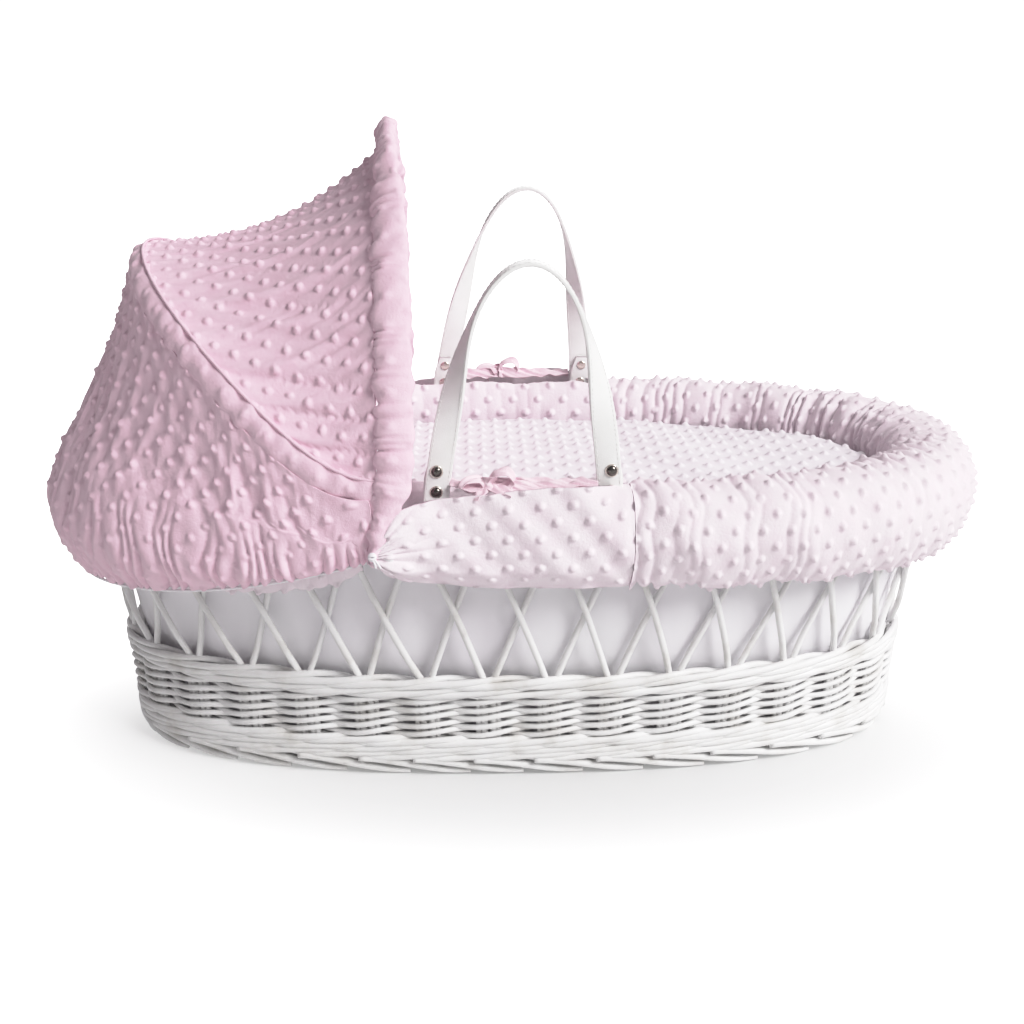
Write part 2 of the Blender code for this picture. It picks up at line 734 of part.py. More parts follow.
def strap_frames(side):
    """The strap's centre line with its face direction: tab, loop round the rim, leg, arch, and back."""
    sign = SIDES[side]
    rise = ARCH_TOP[side]
    leg = []
    for up in (STRAP_TAB_TOP, STRAP_JOIN):
        leg.append((Vector((-HANDLE_HALF, -STRAP_LAYER, up)), Vector((0, -1, 0))))
    opening = math.radians(62)
    loop_steps = 10
    for i in range(loop_steps + 1):
        turn = math.pi - opening + (math.pi + 2 * opening) * i / loop_steps
        out = Vector((0, math.cos(turn), math.sin(turn)))
        leg.append((Vector((-HANDLE_HALF, 0, 0)) + out * LOOP_R, out))
    arch = []
    steps = 26
    for i in range(steps + 1):
        turn = math.pi * i / steps
        x = -HANDLE_HALF * math.cos(turn) * (1 - ARCH_TAPER * math.sin(math.pi * math.sin(turn)))
        up = STRAP_JOIN + (rise - STRAP_JOIN) * math.sin(turn)
        twist = math.pi / 2 * smooth(min(1.0, max(0.0, (math.sin(turn) - 0.17) / 0.70)))
        arch.append((Vector((x, STRAP_LAYER, up)), twist))
    frames = list(leg)
    for i, (point, twist) in enumerate(arch):
        before, after = arch[max(i - 1, 0)][0], arch[min(i + 1, steps)][0]
        along = (after - before).normalized()
        in_plane = Vector((-along.z, 0.0, along.x))
        face = Vector((0, math.cos(twist), 0)) + in_plane * math.sin(twist)
        frames.append((point, face.normalized()))
    mirrored = [(Vector((-p.x, p.y, p.z)), Vector((-n.x, n.y, n.z))) for p, n in reversed(leg)]
    frames += mirrored
    rim_y = handle_y(side)
    placed = []
    for point, face in frames:
        lean = ARCH_LEAN[side] * max(0.0, point.z) / rise
        x, y = HANDLE_X + point.x + lean, sign * (rim_y + point.y)
        placed.append((Vector((x, y, RIM_Z + point.z)), Vector((face.x, sign * face.y, face.z))))
    return placed


def smooth(share):
    return share * share * (3 - 2 * share)


def strap(side):
    """A stitched strap, bored for its rivets."""
    frames = strap_frames(side)
    rings = []
    for i, (point, face) in enumerate(frames):
        before, after = frames[max(i - 1, 0)][0], frames[min(i + 1, len(frames) - 1)][0]
        along = (after - before).normalized()
        width = along.cross(face).normalized() * STRAP_W / 2
        thick = face * STRAP_T / 2
        corners = ((-1, -1), (1, -1), (1, 1), (-1, 1))
        rings.append([point + width * a + thick * b for a, b in corners])
    body = lofted(f"strap_{side}", rings, strap_leather())
    for middle in rivet_places(side):
        start = middle - Vector((0, 0.012, 0))
        hole = cylinder(f"rivet_hole_{side}", start, Vector((0, 1, 0)), RIVET_HOLE, 0.024, 10)
        boolean(body, hole, "DIFFERENCE")


def rivet_places(side):
    """The four rivets' centres, on the line between the strap's two layers."""
    sign = SIDES[side]
    rim_y = handle_y(side)
    places = []
    for end in (-1.0, 1.0):
        for up in RIVET_HEIGHTS:
            lean = ARCH_LEAN[side] * up / ARCH_TOP[side]
            x = HANDLE_X + end * HANDLE_HALF + lean
            places.append(Vector((x, sign * rim_y, RIM_Z + up)))
    return places


def rivets(side):
    """Domed rivets through both layers of the strap, each with a flat cap inside."""
    sign = SIDES[side]
    outer_face = STRAP_LAYER + STRAP_T / 2 + GAP
    for name, middle in zip(RIVET_NAMES, rivet_places(side)):
        inner = -outer_face
        profile = (
            (0.0042, inner - 0.0012),
            (0.0048, inner - 0.0004),
            (0.0048, inner),
            (RIVET_POST, inner),
            (RIVET_POST, outer_face),
            (RIVET_R, outer_face),
            (RIVET_R, outer_face + 0.0008),
            (RIVET_R * 0.72, outer_face + 0.0022),
            (RIVET_R * 0.30, outer_face + 0.0027),
        )
        lathe(f"rivet_{side}_{name}", profile, middle, Vector((0, sign, 0)), 10, nickel())


# ---------------------------------------------------------------- moving pieces
def hang(name, place, pieces):
    """An empty on a joint's axis, and the pieces that move with it as its children."""
    pivot = bpy.data.objects.new(name, None)
    pivot.location = place
    bpy.context.scene.collection.objects.link(pivot)
    for piece in pieces:
        child = bpy.data.objects[piece]
        child.data.transform(Matrix.Translation(-place))
        child.parent = pivot


def hang_moving_pieces():
    hood_axis = Vector((HOOP_X, 0.0, HOOP_Z))
    hang("mid_hoop_axis", hood_axis, ["mid_hoop", "mid_piping"])
    hang("front_hoop_axis", hood_axis, ["front_hoop", "front_casing", "hood_roof"])
    hang("bedding_lift", Vector((0.0, 0.0, MATTRESS_Z[0])), ["mattress", "coverlet"])
    for side, sign in SIDES.items():
        axis = Vector((HANDLE_X, sign * handle_y(side), RIM_Z))
        fixed = [f"rivet_{side}_{name}" for name in RIVET_NAMES]
        hang(f"handle_{side}_axis", axis, [f"strap_{side}", *fixed])


# ---------------------------------------------------------------- build
def build():
    clear_scene()
    base_mat()
    base_sticks()
    foot_border()
    weave_rows()
    crossed_stakes()
    rim_border()
    lining()
    mattress()
    coverlet()
    bumpers()
    side_flaps()
    inner_panels()
    ribbons()
    tie_cords()
    hoop("front")
    hoop("mid")
    pivot_brackets()
    hoop_caps()
    sleeve("front_casing", "front", CASING_R, 9, dimple_fleece())
    sleeve("mid_piping", "mid", PIPING_R, 9, dimple_fleece())
    hood_roof()
    hood_rear()
    hem_elastic()
    for side in SIDES:
        strap(side)
        rivets(side)
    hang_moving_pieces()


build()
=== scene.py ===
"""Looks of the moses basket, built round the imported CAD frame.

Metres. +X is the foot end, -Y the near side, +Z up. Soft pieces are grids of points: a base
surface, settled as cloth where it hangs, then folds and raised dots along its normals.
"""

import json
import math

import bpy
import numpy as np
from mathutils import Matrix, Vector


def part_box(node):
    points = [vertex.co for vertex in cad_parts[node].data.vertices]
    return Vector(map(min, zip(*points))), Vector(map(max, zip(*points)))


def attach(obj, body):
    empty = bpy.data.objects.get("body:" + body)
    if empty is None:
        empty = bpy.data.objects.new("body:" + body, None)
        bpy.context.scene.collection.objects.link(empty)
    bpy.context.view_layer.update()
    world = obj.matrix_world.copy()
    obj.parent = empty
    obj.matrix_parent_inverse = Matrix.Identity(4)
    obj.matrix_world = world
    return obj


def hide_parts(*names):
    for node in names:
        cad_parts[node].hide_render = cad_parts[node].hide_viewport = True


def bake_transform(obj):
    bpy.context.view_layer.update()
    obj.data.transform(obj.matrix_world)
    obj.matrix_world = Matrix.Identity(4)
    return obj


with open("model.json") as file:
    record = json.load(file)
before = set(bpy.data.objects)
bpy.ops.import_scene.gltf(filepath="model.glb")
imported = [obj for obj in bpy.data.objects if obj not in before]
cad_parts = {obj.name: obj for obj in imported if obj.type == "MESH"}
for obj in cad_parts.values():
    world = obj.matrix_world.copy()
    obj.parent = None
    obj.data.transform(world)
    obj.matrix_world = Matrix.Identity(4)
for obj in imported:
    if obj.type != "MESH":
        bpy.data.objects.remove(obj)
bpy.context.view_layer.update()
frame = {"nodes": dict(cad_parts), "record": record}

# ---------------------------------------------------------------- places taken from the frame
RIM_R, HOOP_ROD = 0.0095, 0.003
FOOT_PROUD, WEAVE_PROUD = 0.0060, 0.0062
SQUARENESS = (2.4, 2.2, 2.3)
STAKE_PAIRS, STAKE_PHASE = 32, 0.5
SIDES = {"near": -1.0, "far": 1.0}


def high(node):
    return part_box(node)[1]


def low(node):
    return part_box(node)[0]


BAND_TOP = high("weave_row_06")[2]
RIM_Z = (high("rim_border")[2] + low("rim_border")[2]) / 2
CROWN_Z, COVER_Z = high("bumper_foot")[2], high("coverlet")[2]
LEVEL_Z = (0.0, BAND_TOP, RIM_Z)
LEVEL_NODES = (("foot_border", FOOT_PROUD), ("weave_row_06", WEAVE_PROUD), ("rim_border", RIM_R))
LEVEL_A, LEVEL_B = (
    tuple(high(node)[axis] - proud for node, proud in LEVEL_NODES) for axis in (0, 1)
)
JOINTS = {joint["name"]: joint for joint in frame["record"]["behaviour"]["joints"]}
PIVOT = Vector(JOINTS["mid_hoop_fold"]["pos_m"])
MID_LEAN, FRONT_LEAN = math.radians(46.9), math.radians(0.8)
FRONT_SKEW = 0.0095
MID_HALF_WIDTH = high("mid_hoop")[1] - HOOP_ROD
FRONT_HALF_WIDTH = high("front_hoop")[1] - HOOP_ROD
FRONT_LENGTH = (high("front_hoop")[2] - HOOP_ROD - PIVOT.z) / math.cos(FRONT_LEAN)
MID_LENGTH = (PIVOT.x - HOOP_ROD * 0.7 - low("mid_hoop")[0]) / math.sin(MID_LEAN)
rng = np.random.default_rng(7)


# ---------------------------------------------------------------- small maths
def smooth(x):
    x = np.clip(x, 0.0, 1.0)
    return x * x * (3 - 2 * x)


def unit(v):
    return v / np.maximum(np.linalg.norm(v, axis=-1, keepdims=True), 1e-12)


def path_lengths(path):
    """Distances along a path, from its first point."""
    return np.concatenate(([0], np.cumsum(np.linalg.norm(np.diff(path, axis=0), axis=1))))


def curve(points, count):
    """A smooth curve through a few points, sampled evenly (Catmull-Rom)."""
    p = np.asarray(points, float)
    p = np.vstack([2 * p[0] - p[1], p, 2 * p[-1] - p[-2]])
    fine = []
    t = np.linspace(0, 1, 24, endpoint=False)[:, None]
    for i in range(1, len(p) - 2):
        a, b, c, d = p[i - 1], p[i], p[i + 1], p[i + 2]
        square, cube = 2 * a - 5 * b + 4 * c - d, 3 * b - a - 3 * c + d
        fine.append(0.5 * (2 * b + (c - a) * t + square * t**2 + cube * t**3))
    fine = np.vstack(fine + [p[-2][None]])
    length = path_lengths(fine)
    wanted = np.linspace(0, length[-1], count)
    return np.stack([np.interp(wanted, length, fine[:, k]) for k in range(p.shape[1])], axis=1)


def waves(x, seed, lengths, heights):
    """A smooth random line: sines of several lengths, with fixed random phases."""
    local = np.random.default_rng(seed)
    total = np.zeros_like(x)
    for length, height in zip(lengths, heights):
        for _ in range(3):
            stretch = local.uniform(0.75, 1.3)
            start = local.uniform(0, 6.283)
            total += height / 1.7 * np.sin(2 * np.pi * x / (length * stretch) + start)
    return total


def pleats(x, seed, pitch, jitter=0.35):
    """Round-topped folds with sharp valleys: 1 on a ridge, 0 in a valley."""
    phase = x / pitch + jitter * waves(x, seed, (pitch * 3.1, pitch * 7.3), (0.6, 0.9))
    return np.abs(np.sin(np.pi * phase)) ** 0.8


def dots(u, v, pitch_u=0.0275, pitch_v=0.0145, radius=0.0050, height=0.0034):
    """Raised dots on a staggered lattice in the cloth's own coordinates."""
    row = np.round(v / pitch_v)
    shift = np.where(row % 2 == 0, 0.0, 0.5)
    column = np.round(u / pitch_u - shift) + shift
    reach = np.hypot(u - column * pitch_u, v - row * pitch_v)
    return height * smooth(1.35 * (1 - reach / radius))


# ---------------------------------------------------------------- the basket's outline
def outline_at_angle(angle, z, out=0.0):
    """Points of the rounded outline at this height, `out` from it along its own normal."""
    fields = (np.asarray(field, float) for field in (angle, z, out))
    angle, z, out = np.broadcast_arrays(*fields)
    a, b, n = (np.interp(z, LEVEL_Z, level) for level in (LEVEL_A, LEVEL_B, SQUARENESS))
    c, s = np.cos(angle), np.sin(angle)
    reach = (np.abs(c) ** n + np.abs(s) ** n) ** (-1 / n)
    x, y = reach * c, reach * s
    nx = np.sign(x) * np.abs(x) ** (n - 1) / a
    ny = np.sign(y) * np.abs(y) ** (n - 1) / b
    size = np.hypot(nx, ny)
    return np.stack([a * x + out * nx / size, b * y + out * ny / size, z], axis=-1)


TABLE_ANGLES = np.linspace(0.0, 2 * math.pi, 1441)
TABLE_POINTS = outline_at_angle(TABLE_ANGLES, BAND_TOP)[:, :2]
TABLE_STEPS = np.linalg.norm(np.diff(TABLE_POINTS, axis=0), axis=1)
TABLE_TURNS = np.concatenate(([0.0], np.cumsum(TABLE_STEPS))) / TABLE_STEPS.sum()
BAND_LENGTH = TABLE_STEPS.sum()


def wall(turn, z, out=0.0):
    """The willow wall's points at shares of the way round, from the foot end past the far side."""
    return outline_at_angle(np.interp(np.mod(turn, 1.0), TABLE_TURNS, TABLE_ANGLES), z, out)


def round_rim(turn, out, z):
    """Points round the rim, `out` from its centre line, at any height."""
    flat = wall(turn, RIM_Z, out)
    flat[..., 2] = z
    return flat


def outward(turn, z):
    return unit(wall(turn, z, 0.01) - wall(turn, z))


def turn_at_x(x, side):
    """The share of the way round at which the rim passes this x on this side."""
    middle = 0.25 if SIDES[side] > 0 else 0.75
    tries = np.linspace(middle - 0.2, middle + 0.2, 4001)
    return float(tries[np.argmin(np.abs(wall(tries, RIM_Z)[:, 0] - x))])


# ---------------------------------------------------------------- meshes from grids
def mesh_object(name, verts, quads, uvs, finish, body, nodes):
    """One visible piece on a body, with its finish, standing for these CAD nodes."""
    surface, slot = finish
    mesh = bpy.data.meshes.new(name)
    mesh.vertices.add(len(verts))
    mesh.vertices.foreach_set("co", np.asarray(verts, np.float32).ravel())
    mesh.loops.add(quads.size)
    mesh.loops.foreach_set("vertex_index", quads.astype(np.int32).ravel())
    mesh.polygons.add(len(quads))
    mesh.polygons.foreach_set("loop_start", np.arange(0, quads.size, 4, dtype=np.int32))
    mesh.update(calc_edges=True)
    mesh.validate()
    layer = mesh.uv_layers.new(name="UVMap")
    layer.data.foreach_set("uv", np.asarray(uvs, np.float32)[quads.ravel()].ravel())
    mesh.shade_smooth()
    mesh.materials.append(surface)
    obj = bpy.data.objects.new(name, mesh)
    bpy.context.scene.collection.objects.link(obj)
    if body:
        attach(obj, body)
    if nodes:
        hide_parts(*nodes)
    return obj


def grid_quads(rows, columns, wrap=False, start=0, flip=False):
    """Faces of a grid of points whose index is row * columns + column."""
    i = np.arange(rows - 1)[:, None]
    j = np.arange(columns if wrap else columns - 1)[None, :]
    k = (j + 1) % columns
    a, b = i * columns, (i + 1) * columns
    quads = np.stack([a + j, b + j, b + k, a + k], axis=-1).reshape(-1, 4) + start
    return quads[:, ::-1] if flip else quads


def grid_normals(grid):
    return unit(np.cross(np.gradient(grid, axis=0), np.gradient(grid, axis=1)))


def soften(field, times):
    """The field averaged with its neighbours again and again, its edges left as they are."""
    field = field.copy()
    for _ in range(times):
        field[1:-1] = (field[:-2] + 2 * field[1:-1] + field[2:]) / 4
        field[:, 1:-1] = (field[:, :-2] + 2 * field[:, 1:-1] + field[:, 2:]) / 4
    return field


def middle_column(field):
    """The field's middle column, repeated across."""
    middle = field.shape[1] // 2
    return np.broadcast_to(field[:, middle : middle + 1], field.shape)


def grid_lengths(grid):
    """Distances down the rows and along the columns of the surface, as cloth coordinates."""
    along = np.linalg.norm(np.diff(grid, axis=0), axis=2)
    across = np.linalg.norm(np.diff(grid, axis=1), axis=2)
    u = np.concatenate([np.zeros((1, grid.shape[1])), np.cumsum(along, axis=0)])
    v = np.concatenate([np.zeros((grid.shape[0], 1)), np.cumsum(across, axis=1)], axis=1)
    return u, v


def shell(name, front, back, uv, finish, body, *nodes):
    """A closed sheet: a front grid, a back grid and the strip of faces round their edges."""
    rows, columns = front.shape[:2]
    count = rows * columns
    index = np.arange(count).reshape(rows, columns)
    rim = np.concatenate([index[:-1, 0], index[-1, :-1], index[:0:-1, -1], index[0, :0:-1]])
    nxt = np.roll(rim, -1)
    edge = np.stack([rim + count, nxt + count, nxt, rim], axis=1)
    under = grid_quads(rows, columns, start=count, flip=True)
    quads = np.vstack([grid_quads(rows, columns), under, edge])
    verts = np.vstack([front.reshape(-1, 3), back.reshape(-1, 3)])
    flat = np.stack(uv, axis=-1).reshape(-1, 2)
    return mesh_object(name, verts, quads, np.vstack([flat, flat]), finish, body, nodes)


def end_strips(rows, columns):
    """Faces that fill the first and the last ring of a tube whose side faces outwards."""
    j = np.arange(columns // 2 - 1)
    strip = np.stack([j, j + 1, columns - 2 - j, columns - 1 - j], axis=1)
    return strip[:, ::-1], strip + (rows - 1) * columns


def loft(name, rings, uv, finish, body, *nodes):
    """A closed body from closed rings (rows of the grid), its two ends filled."""
    rows, columns = rings.shape[:2]
    quads = np.vstack([grid_quads(rows, columns, wrap=True), *end_strips(rows, columns)])
    flat = np.stack(uv, axis=-1).reshape(-1, 2)
    return mesh_object(name, rings.reshape(-1, 3), quads, flat, finish, body, nodes)


class Bundle:
    """Round rods collected into one piece."""

    def __init__(self):
        self.verts, self.quads, self.uvs, self.count = [], [], [], 0

    def rod(self, path, radius, reference=(0, 0, 1), sides=8, closed=False):
        path = np.asarray(path, float)
        rows = len(path)
        radius = np.broadcast_to(np.asarray(radius, float), (rows,))
        if closed:
            along = unit(np.roll(path, -1, axis=0) - np.roll(path, 1, axis=0))
        else:
            along = unit(np.gradient(path, axis=0))
        side = unit(np.cross(along, np.broadcast_to(reference, path.shape)))
        up = np.cross(side, along)
        turn = 2 * np.pi * (np.arange(sides) + 0.5) / sides
        ring = path[:, None] + radius[:, None, None] * (
            side[:, None] * np.cos(turn)[None, :, None] + up[:, None] * np.sin(turn)[None, :, None]
        )
        self.verts.append(ring.reshape(-1, 3))
        self.quads.append(self.faces(rows, sides, closed) + self.count)
        u = np.repeat((path_lengths(path) + rng.uniform(0, 5))[:, None], sides, axis=1)
        v = np.broadcast_to(turn * radius.mean(), u.shape)
        self.uvs.append(np.stack([u, v], axis=-1).reshape(-1, 2))
        self.count += rows * sides

    def faces(self, rows, sides, closed):
        if not closed:
            body = grid_quads(rows, sides, wrap=True)[:, ::-1]
            return np.vstack([body, *end_strips(rows, sides)])
        i = np.arange(rows)[:, None]
        j = np.arange(sides)[None, :]
        n, k = (i + 1) % rows, (j + 1) % sides
        a, b = i * sides, n * sides
        return np.stack([a + j, a + k, b + k, b + j], axis=-1).reshape(-1, 4)

    def build(self, name, finish, body, *nodes):
        verts, quads, uvs = (np.vstack(rows) for rows in (self.verts, self.quads, self.uvs))
        return mesh_object(name, verts, quads, uvs, finish, body, nodes)


# ---------------------------------------------------------------- cloth
def cubic_weights(count, wanted):
    """Rows of Catmull-Rom weights that resample `count` points to `wanted` points."""
    place = np.linspace(0, count - 1, wanted)
    first = np.clip(np.floor(place).astype(int), 0, count - 2)
    t = (place - first)[:, None]
    parts = np.hstack([
        -0.5 * t + t**2 - 0.5 * t**3,
        1 - 2.5 * t**2 + 1.5 * t**3,
        0.5 * t + 2 * t**2 - 1.5 * t**3,
        -0.5 * t**2 + 0.5 * t**3,
    ])
    weights = np.zeros((wanted, count))
    for k in range(4):
        index = np.clip(first + k - 1, 0, count - 1)
        np.add.at(weights, (np.arange(wanted), index), parts[:, k])
    return weights


def refine(grid, rows, columns):
    """A finer grid through the points of a coarse one."""
    finer = np.einsum("ri,ijk->rjk", cubic_weights(grid.shape[0], rows), grid)
    return np.einsum("cj,rjk->rck", cubic_weights(grid.shape[1], columns), finer)


CLOTH_FRAMES = 26
CLOTH = {
    "quality": 7,
    "mass": 0.15,
    "air_damping": 2.0,
    "tension_stiffness": 20.0,
    "compression_stiffness": 20.0,
    "shear_stiffness": 8.0,
    "bending_stiffness": 0.3,
    "vertex_group_mass": "hold",
}


def settle(grid, hold, slack):
    """Lets a sheet hang as cloth larger than its frame by `slack`, held where `hold` is 1."""
    rows, columns = grid.shape[:2]
    mesh = bpy.data.meshes.new("sheet")
    mesh.from_pydata(grid.reshape(-1, 3).tolist(), [], grid_quads(rows, columns).tolist())
    sheet = bpy.data.objects.new("sheet", mesh)
    scene = bpy.context.scene
    scene.collection.objects.link(sheet)
    group = sheet.vertex_groups.new(name="hold")
    for index, weight in enumerate(hold.ravel()):
        if weight > 0:
            group.add([index], float(weight), "REPLACE")
    cloth = sheet.modifiers.new("cloth", "CLOTH").settings
    for setting, value in CLOTH.items():
        setattr(cloth, setting, value)
    cloth.shrink_min = -slack
    for step in range(1, CLOTH_FRAMES + 1):
        scene.frame_set(step)
    settled = sheet.evaluated_get(bpy.context.evaluated_depsgraph_get()).to_mesh()
    flat = np.empty(len(settled.vertices) * 3, np.float32)
    settled.vertices.foreach_get("co", flat)
    scene.frame_set(1)
    bpy.data.objects.remove(sheet)
    return flat.reshape(rows, columns, 3).astype(float)


# ---------------------------------------------------------------- materials
class Nodes:
    """Short forms for building a material's nodes."""

    def __init__(self, name):
        self.material = bpy.data.materials.new(name)
        self.material.use_nodes = True
        self.tree = self.material.node_tree
        self.shader = self.tree.nodes["Principled BSDF"]

    def add(self, kind, inputs=None, **settings):
        node = self.tree.nodes.new(kind)
        for key, value in settings.items():
            setattr(node, key, value)
        for key, value in (inputs or {}).items():
            if isinstance(value, bpy.types.NodeSocket):
                self.tree.links.new(value, node.inputs[key])
            else:
                node.inputs[key].default_value = value
        return node

    def set(self, **values):
        for key, value in values.items():
            socket = self.shader.inputs[key.replace("_", " ")]
            if isinstance(value, bpy.types.NodeSocket):
                self.tree.links.new(value, socket)
            else:
                socket.default_value = value

    def ramp(self, factor, *stops):
        node = self.add("ShaderNodeValToRGB", {"Fac": factor})
        elements = node.color_ramp.elements
        while len(elements) < len(stops):
            elements.new(0.5)
        for element, (place, colour) in zip(elements, stops):
            element.position = place
            element.color = (*colour, 1.0)
        return node.outputs["Color"]

    def noise(self, vector, scale, detail=3.0):
        inputs = {"Vector": vector, "Scale": scale, "Detail": detail}
        return self.add("ShaderNodeTexNoise", inputs).outputs["Fac"]

    def stripes(self, scale, direction):
        inputs = {"Vector": self.uv(), "Scale": scale}
        return self.add("ShaderNodeTexWave", inputs, bands_direction=direction).outputs["Fac"]

    def scaled(self, vector, x, y, z=1.0):
        mapping = self.add("ShaderNodeMapping", {"Vector": vector, "Scale": (x, y, z)})
        return mapping.outputs["Vector"]

    def uv(self):
        return self.add("ShaderNodeTexCoord").outputs["UV"]

    def place(self):
        return self.add("ShaderNodeTexCoord").outputs["Object"]

    def bump(self, *layers):
        normal = None
        for height, strength, distance in layers:
            inputs = {"Height": height, "Strength": strength, "Distance": distance}
            if normal is not None:
                inputs["Normal"] = normal
            normal = self.add("ShaderNodeBump", inputs).outputs["Normal"]
        self.set(Normal=normal)


def painted_willow():
    n = Nodes("painted_willow")
    grain = n.noise(n.scaled(n.uv(), 45.0, 900.0), 1.0, 4.0)
    patches = n.noise(n.place(), 26.0, 4.0)
    # Painted shade: darker greyish patches at random places stand in for the shade of the weave's
    # crevices; the lightest tone is the paint's own white.
    painted_shade_tone, dull, plain_paint = (0.70, 0.685, 0.66), (0.84, 0.835, 0.825), (0.90, 0.90, 0.90)
    colour = n.ramp(patches, (0.30, painted_shade_tone), (0.46, dull), (0.75, plain_paint))
    n.set(Base_Color=colour, Roughness=0.42, Specular_IOR_Level=0.45)
    n.bump((grain, 0.35, 0.0006), (n.noise(n.place(), 260.0), 0.25, 0.0008))
    return n.material


def fleece(name, light, deep, sheen):
    """Short pile: soft mottling, a fine nap and a sheen at grazing angles."""
    n = Nodes(name)
    mottle = n.noise(n.place(), 60.0, 5.0)
    colour = n.ramp(mottle, (0.30, deep), (0.62, light))
    n.set(Base_Color=colour, Roughness=0.92, Sheen_Weight=sheen, Sheen_Roughness=0.45)
    n.set(Sheen_Tint=(1.0, 0.93, 0.96, 1.0), Specular_IOR_Level=0.15)
    nap = n.noise(n.scaled(n.uv(), 1500.0, 700.0), 1.0, 3.0)
    n.bump((nap, 0.55, 0.0006), (n.noise(n.place(), 380.0, 3.0), 0.45, 0.0010))
    return n.material


def white_cotton():
    n = Nodes("white_cotton")
    threads = {0: n.stripes(420.0, "X"), 1: n.stripes(420.0, "Y")}
    cloth = n.add("ShaderNodeMath", threads, operation="MULTIPLY").outputs[0]
    tint = n.noise(n.place(), 7.0, 3.0)
    n.set(Base_Color=n.ramp(tint, (0.3, (0.90, 0.87, 0.91)), (0.7, (0.94, 0.93, 0.95))))
    n.set(Roughness=0.85, Sheen_Weight=0.1)
    n.bump((cloth, 0.3, 0.0004), (n.noise(n.place(), 90.0, 4.0), 0.3, 0.0010))
    return n.material


def strap_leather():
    n = Nodes("strap_leather")
    cells = n.add("ShaderNodeTexVoronoi", {"Vector": n.place(), "Scale": 900.0}).outputs["Distance"]
    tint = n.noise(n.place(), 40.0)
    colour = n.ramp(tint, (0.3, (0.84, 0.84, 0.82)), (0.7, (0.90, 0.90, 0.89)))
    n.set(Base_Color=colour, Roughness=0.38)
    n.bump((cells, 0.22, 0.0004))
    return n.material


def ribbon_satin():
    n = Nodes("ribbon_satin")
    ribs = n.stripes(260.0, "X")
    tint = n.noise(n.place(), 80.0)
    n.set(Base_Color=n.ramp(tint, (0.3, (0.90, 0.68, 0.76)), (0.7, (0.94, 0.77, 0.83))))
    n.set(Roughness=0.55, Sheen_Weight=0.25)
    n.bump((ribs, 0.3, 0.0004))
    return n.material


def metal(name, colour, roughness):
    n = Nodes(name)
    scuffs = {"Value": n.noise(n.place(), 1200.0), "To Min": roughness, "To Max": roughness + 0.12}
    n.set(Base_Color=(*colour, 1.0), Metallic=1.0)
    n.set(Roughness=n.add("ShaderNodeMapRange", scuffs).outputs[0])
    return n.material


def satin_plastic():
    n = Nodes("satin_plastic")
    n.set(Base_Color=(0.85, 0.85, 0.86, 1.0), Roughness=0.4)
    n.bump((n.noise(n.place(), 1500.0), 0.1, 0.0003))
    return n.material


def thread():
    n = Nodes("thread")
    twist = n.stripes(900.0, "DIAGONAL")
    n.set(Base_Color=(0.86, 0.86, 0.84, 1.0), Roughness=0.6)
    n.bump((twist, 0.5, 0.0003))
    return n.material


FLEECE_SLOT = "pink_dimple_fleece"
# Painted shade: the hood's fleece is the same fleece as the padding's, painted deeper and more
# saturated for the shade the hood hangs in.
SHADED_PINK = (fleece("pink_fleece_painted_shade", (0.865, 0.640, 0.735), (0.830, 0.590, 0.690), 0.20), FLEECE_SLOT)
PALE_PINK = (
    fleece("pale_pink_fleece", (0.880, 0.795, 0.840), (0.860, 0.750, 0.808), 0.06),
    FLEECE_SLOT,
)
QUILT_PINK = (
    fleece("quilt_fleece", (0.880, 0.838, 0.875), (0.860, 0.803, 0.850), 0.10),
    FLEECE_SLOT,
)
WILLOW = (painted_willow(), "white_willow")
COTTON = (white_cotton(), "white_cotton")
LEATHER = (strap_leather(), "strap_leather")
SATIN = (ribbon_satin(), "pink_ribbon")
PLASTIC = satin_plastic()
THREAD = (thread(), "strap_leather")
DARK_NICKEL = (metal("dark_nickel", (0.16, 0.145, 0.135), 0.12), "nickel")
BRIGHT_NICKEL = (metal("bright_nickel", (0.80, 0.72, 0.66), 0.14), "nickel")


# ---------------------------------------------------------------- willow
def strand_turns(samples):
    """Even steps round the basket, with each one's place counted in stake pairs."""
    turn = np.arange(STAKE_PAIRS * samples) / (STAKE_PAIRS * samples)
    return turn, turn * STAKE_PAIRS - STAKE_PHASE


PAIRING_OUT, PAIRING_LIFT, PAIRING_R = 0.0062, 0.0031, 0.0026
PAIRING_ROWS, PAIRING_FROM, PAIRING_TO = 5, 0.0445, 0.0900
WALE_KNOTS = (0.0, 0.10, 0.22, 0.45, 0.58, 0.68, 0.80, 0.92, 1.0)
WALE_REACH = (0.2, 0.85, 1.0, 1.0, 0.85, 0.1, -0.9, -0.9, 0.2)
WALE_CLIMB = (-0.40, -0.32, -0.22, 0.12, 0.34, 0.44, 0.20, -0.25, -0.40)
STAKE_R, STAKE_LAYER, STAKE_BESIDE = 0.0032, 0.0029, 0.0042
FOOT_LAYERS = ((1.85, 0.0190, 0.0040, 0.0062, 0.0015), (1.5, 0.0105, 0.0035, -0.0045, -0.0075))
RIM_TWIST, RIM_STRAND_R = 0.0042, 0.0044
FLOOR_PITCH, FLOOR_ROD_R = 0.0052, 0.0025


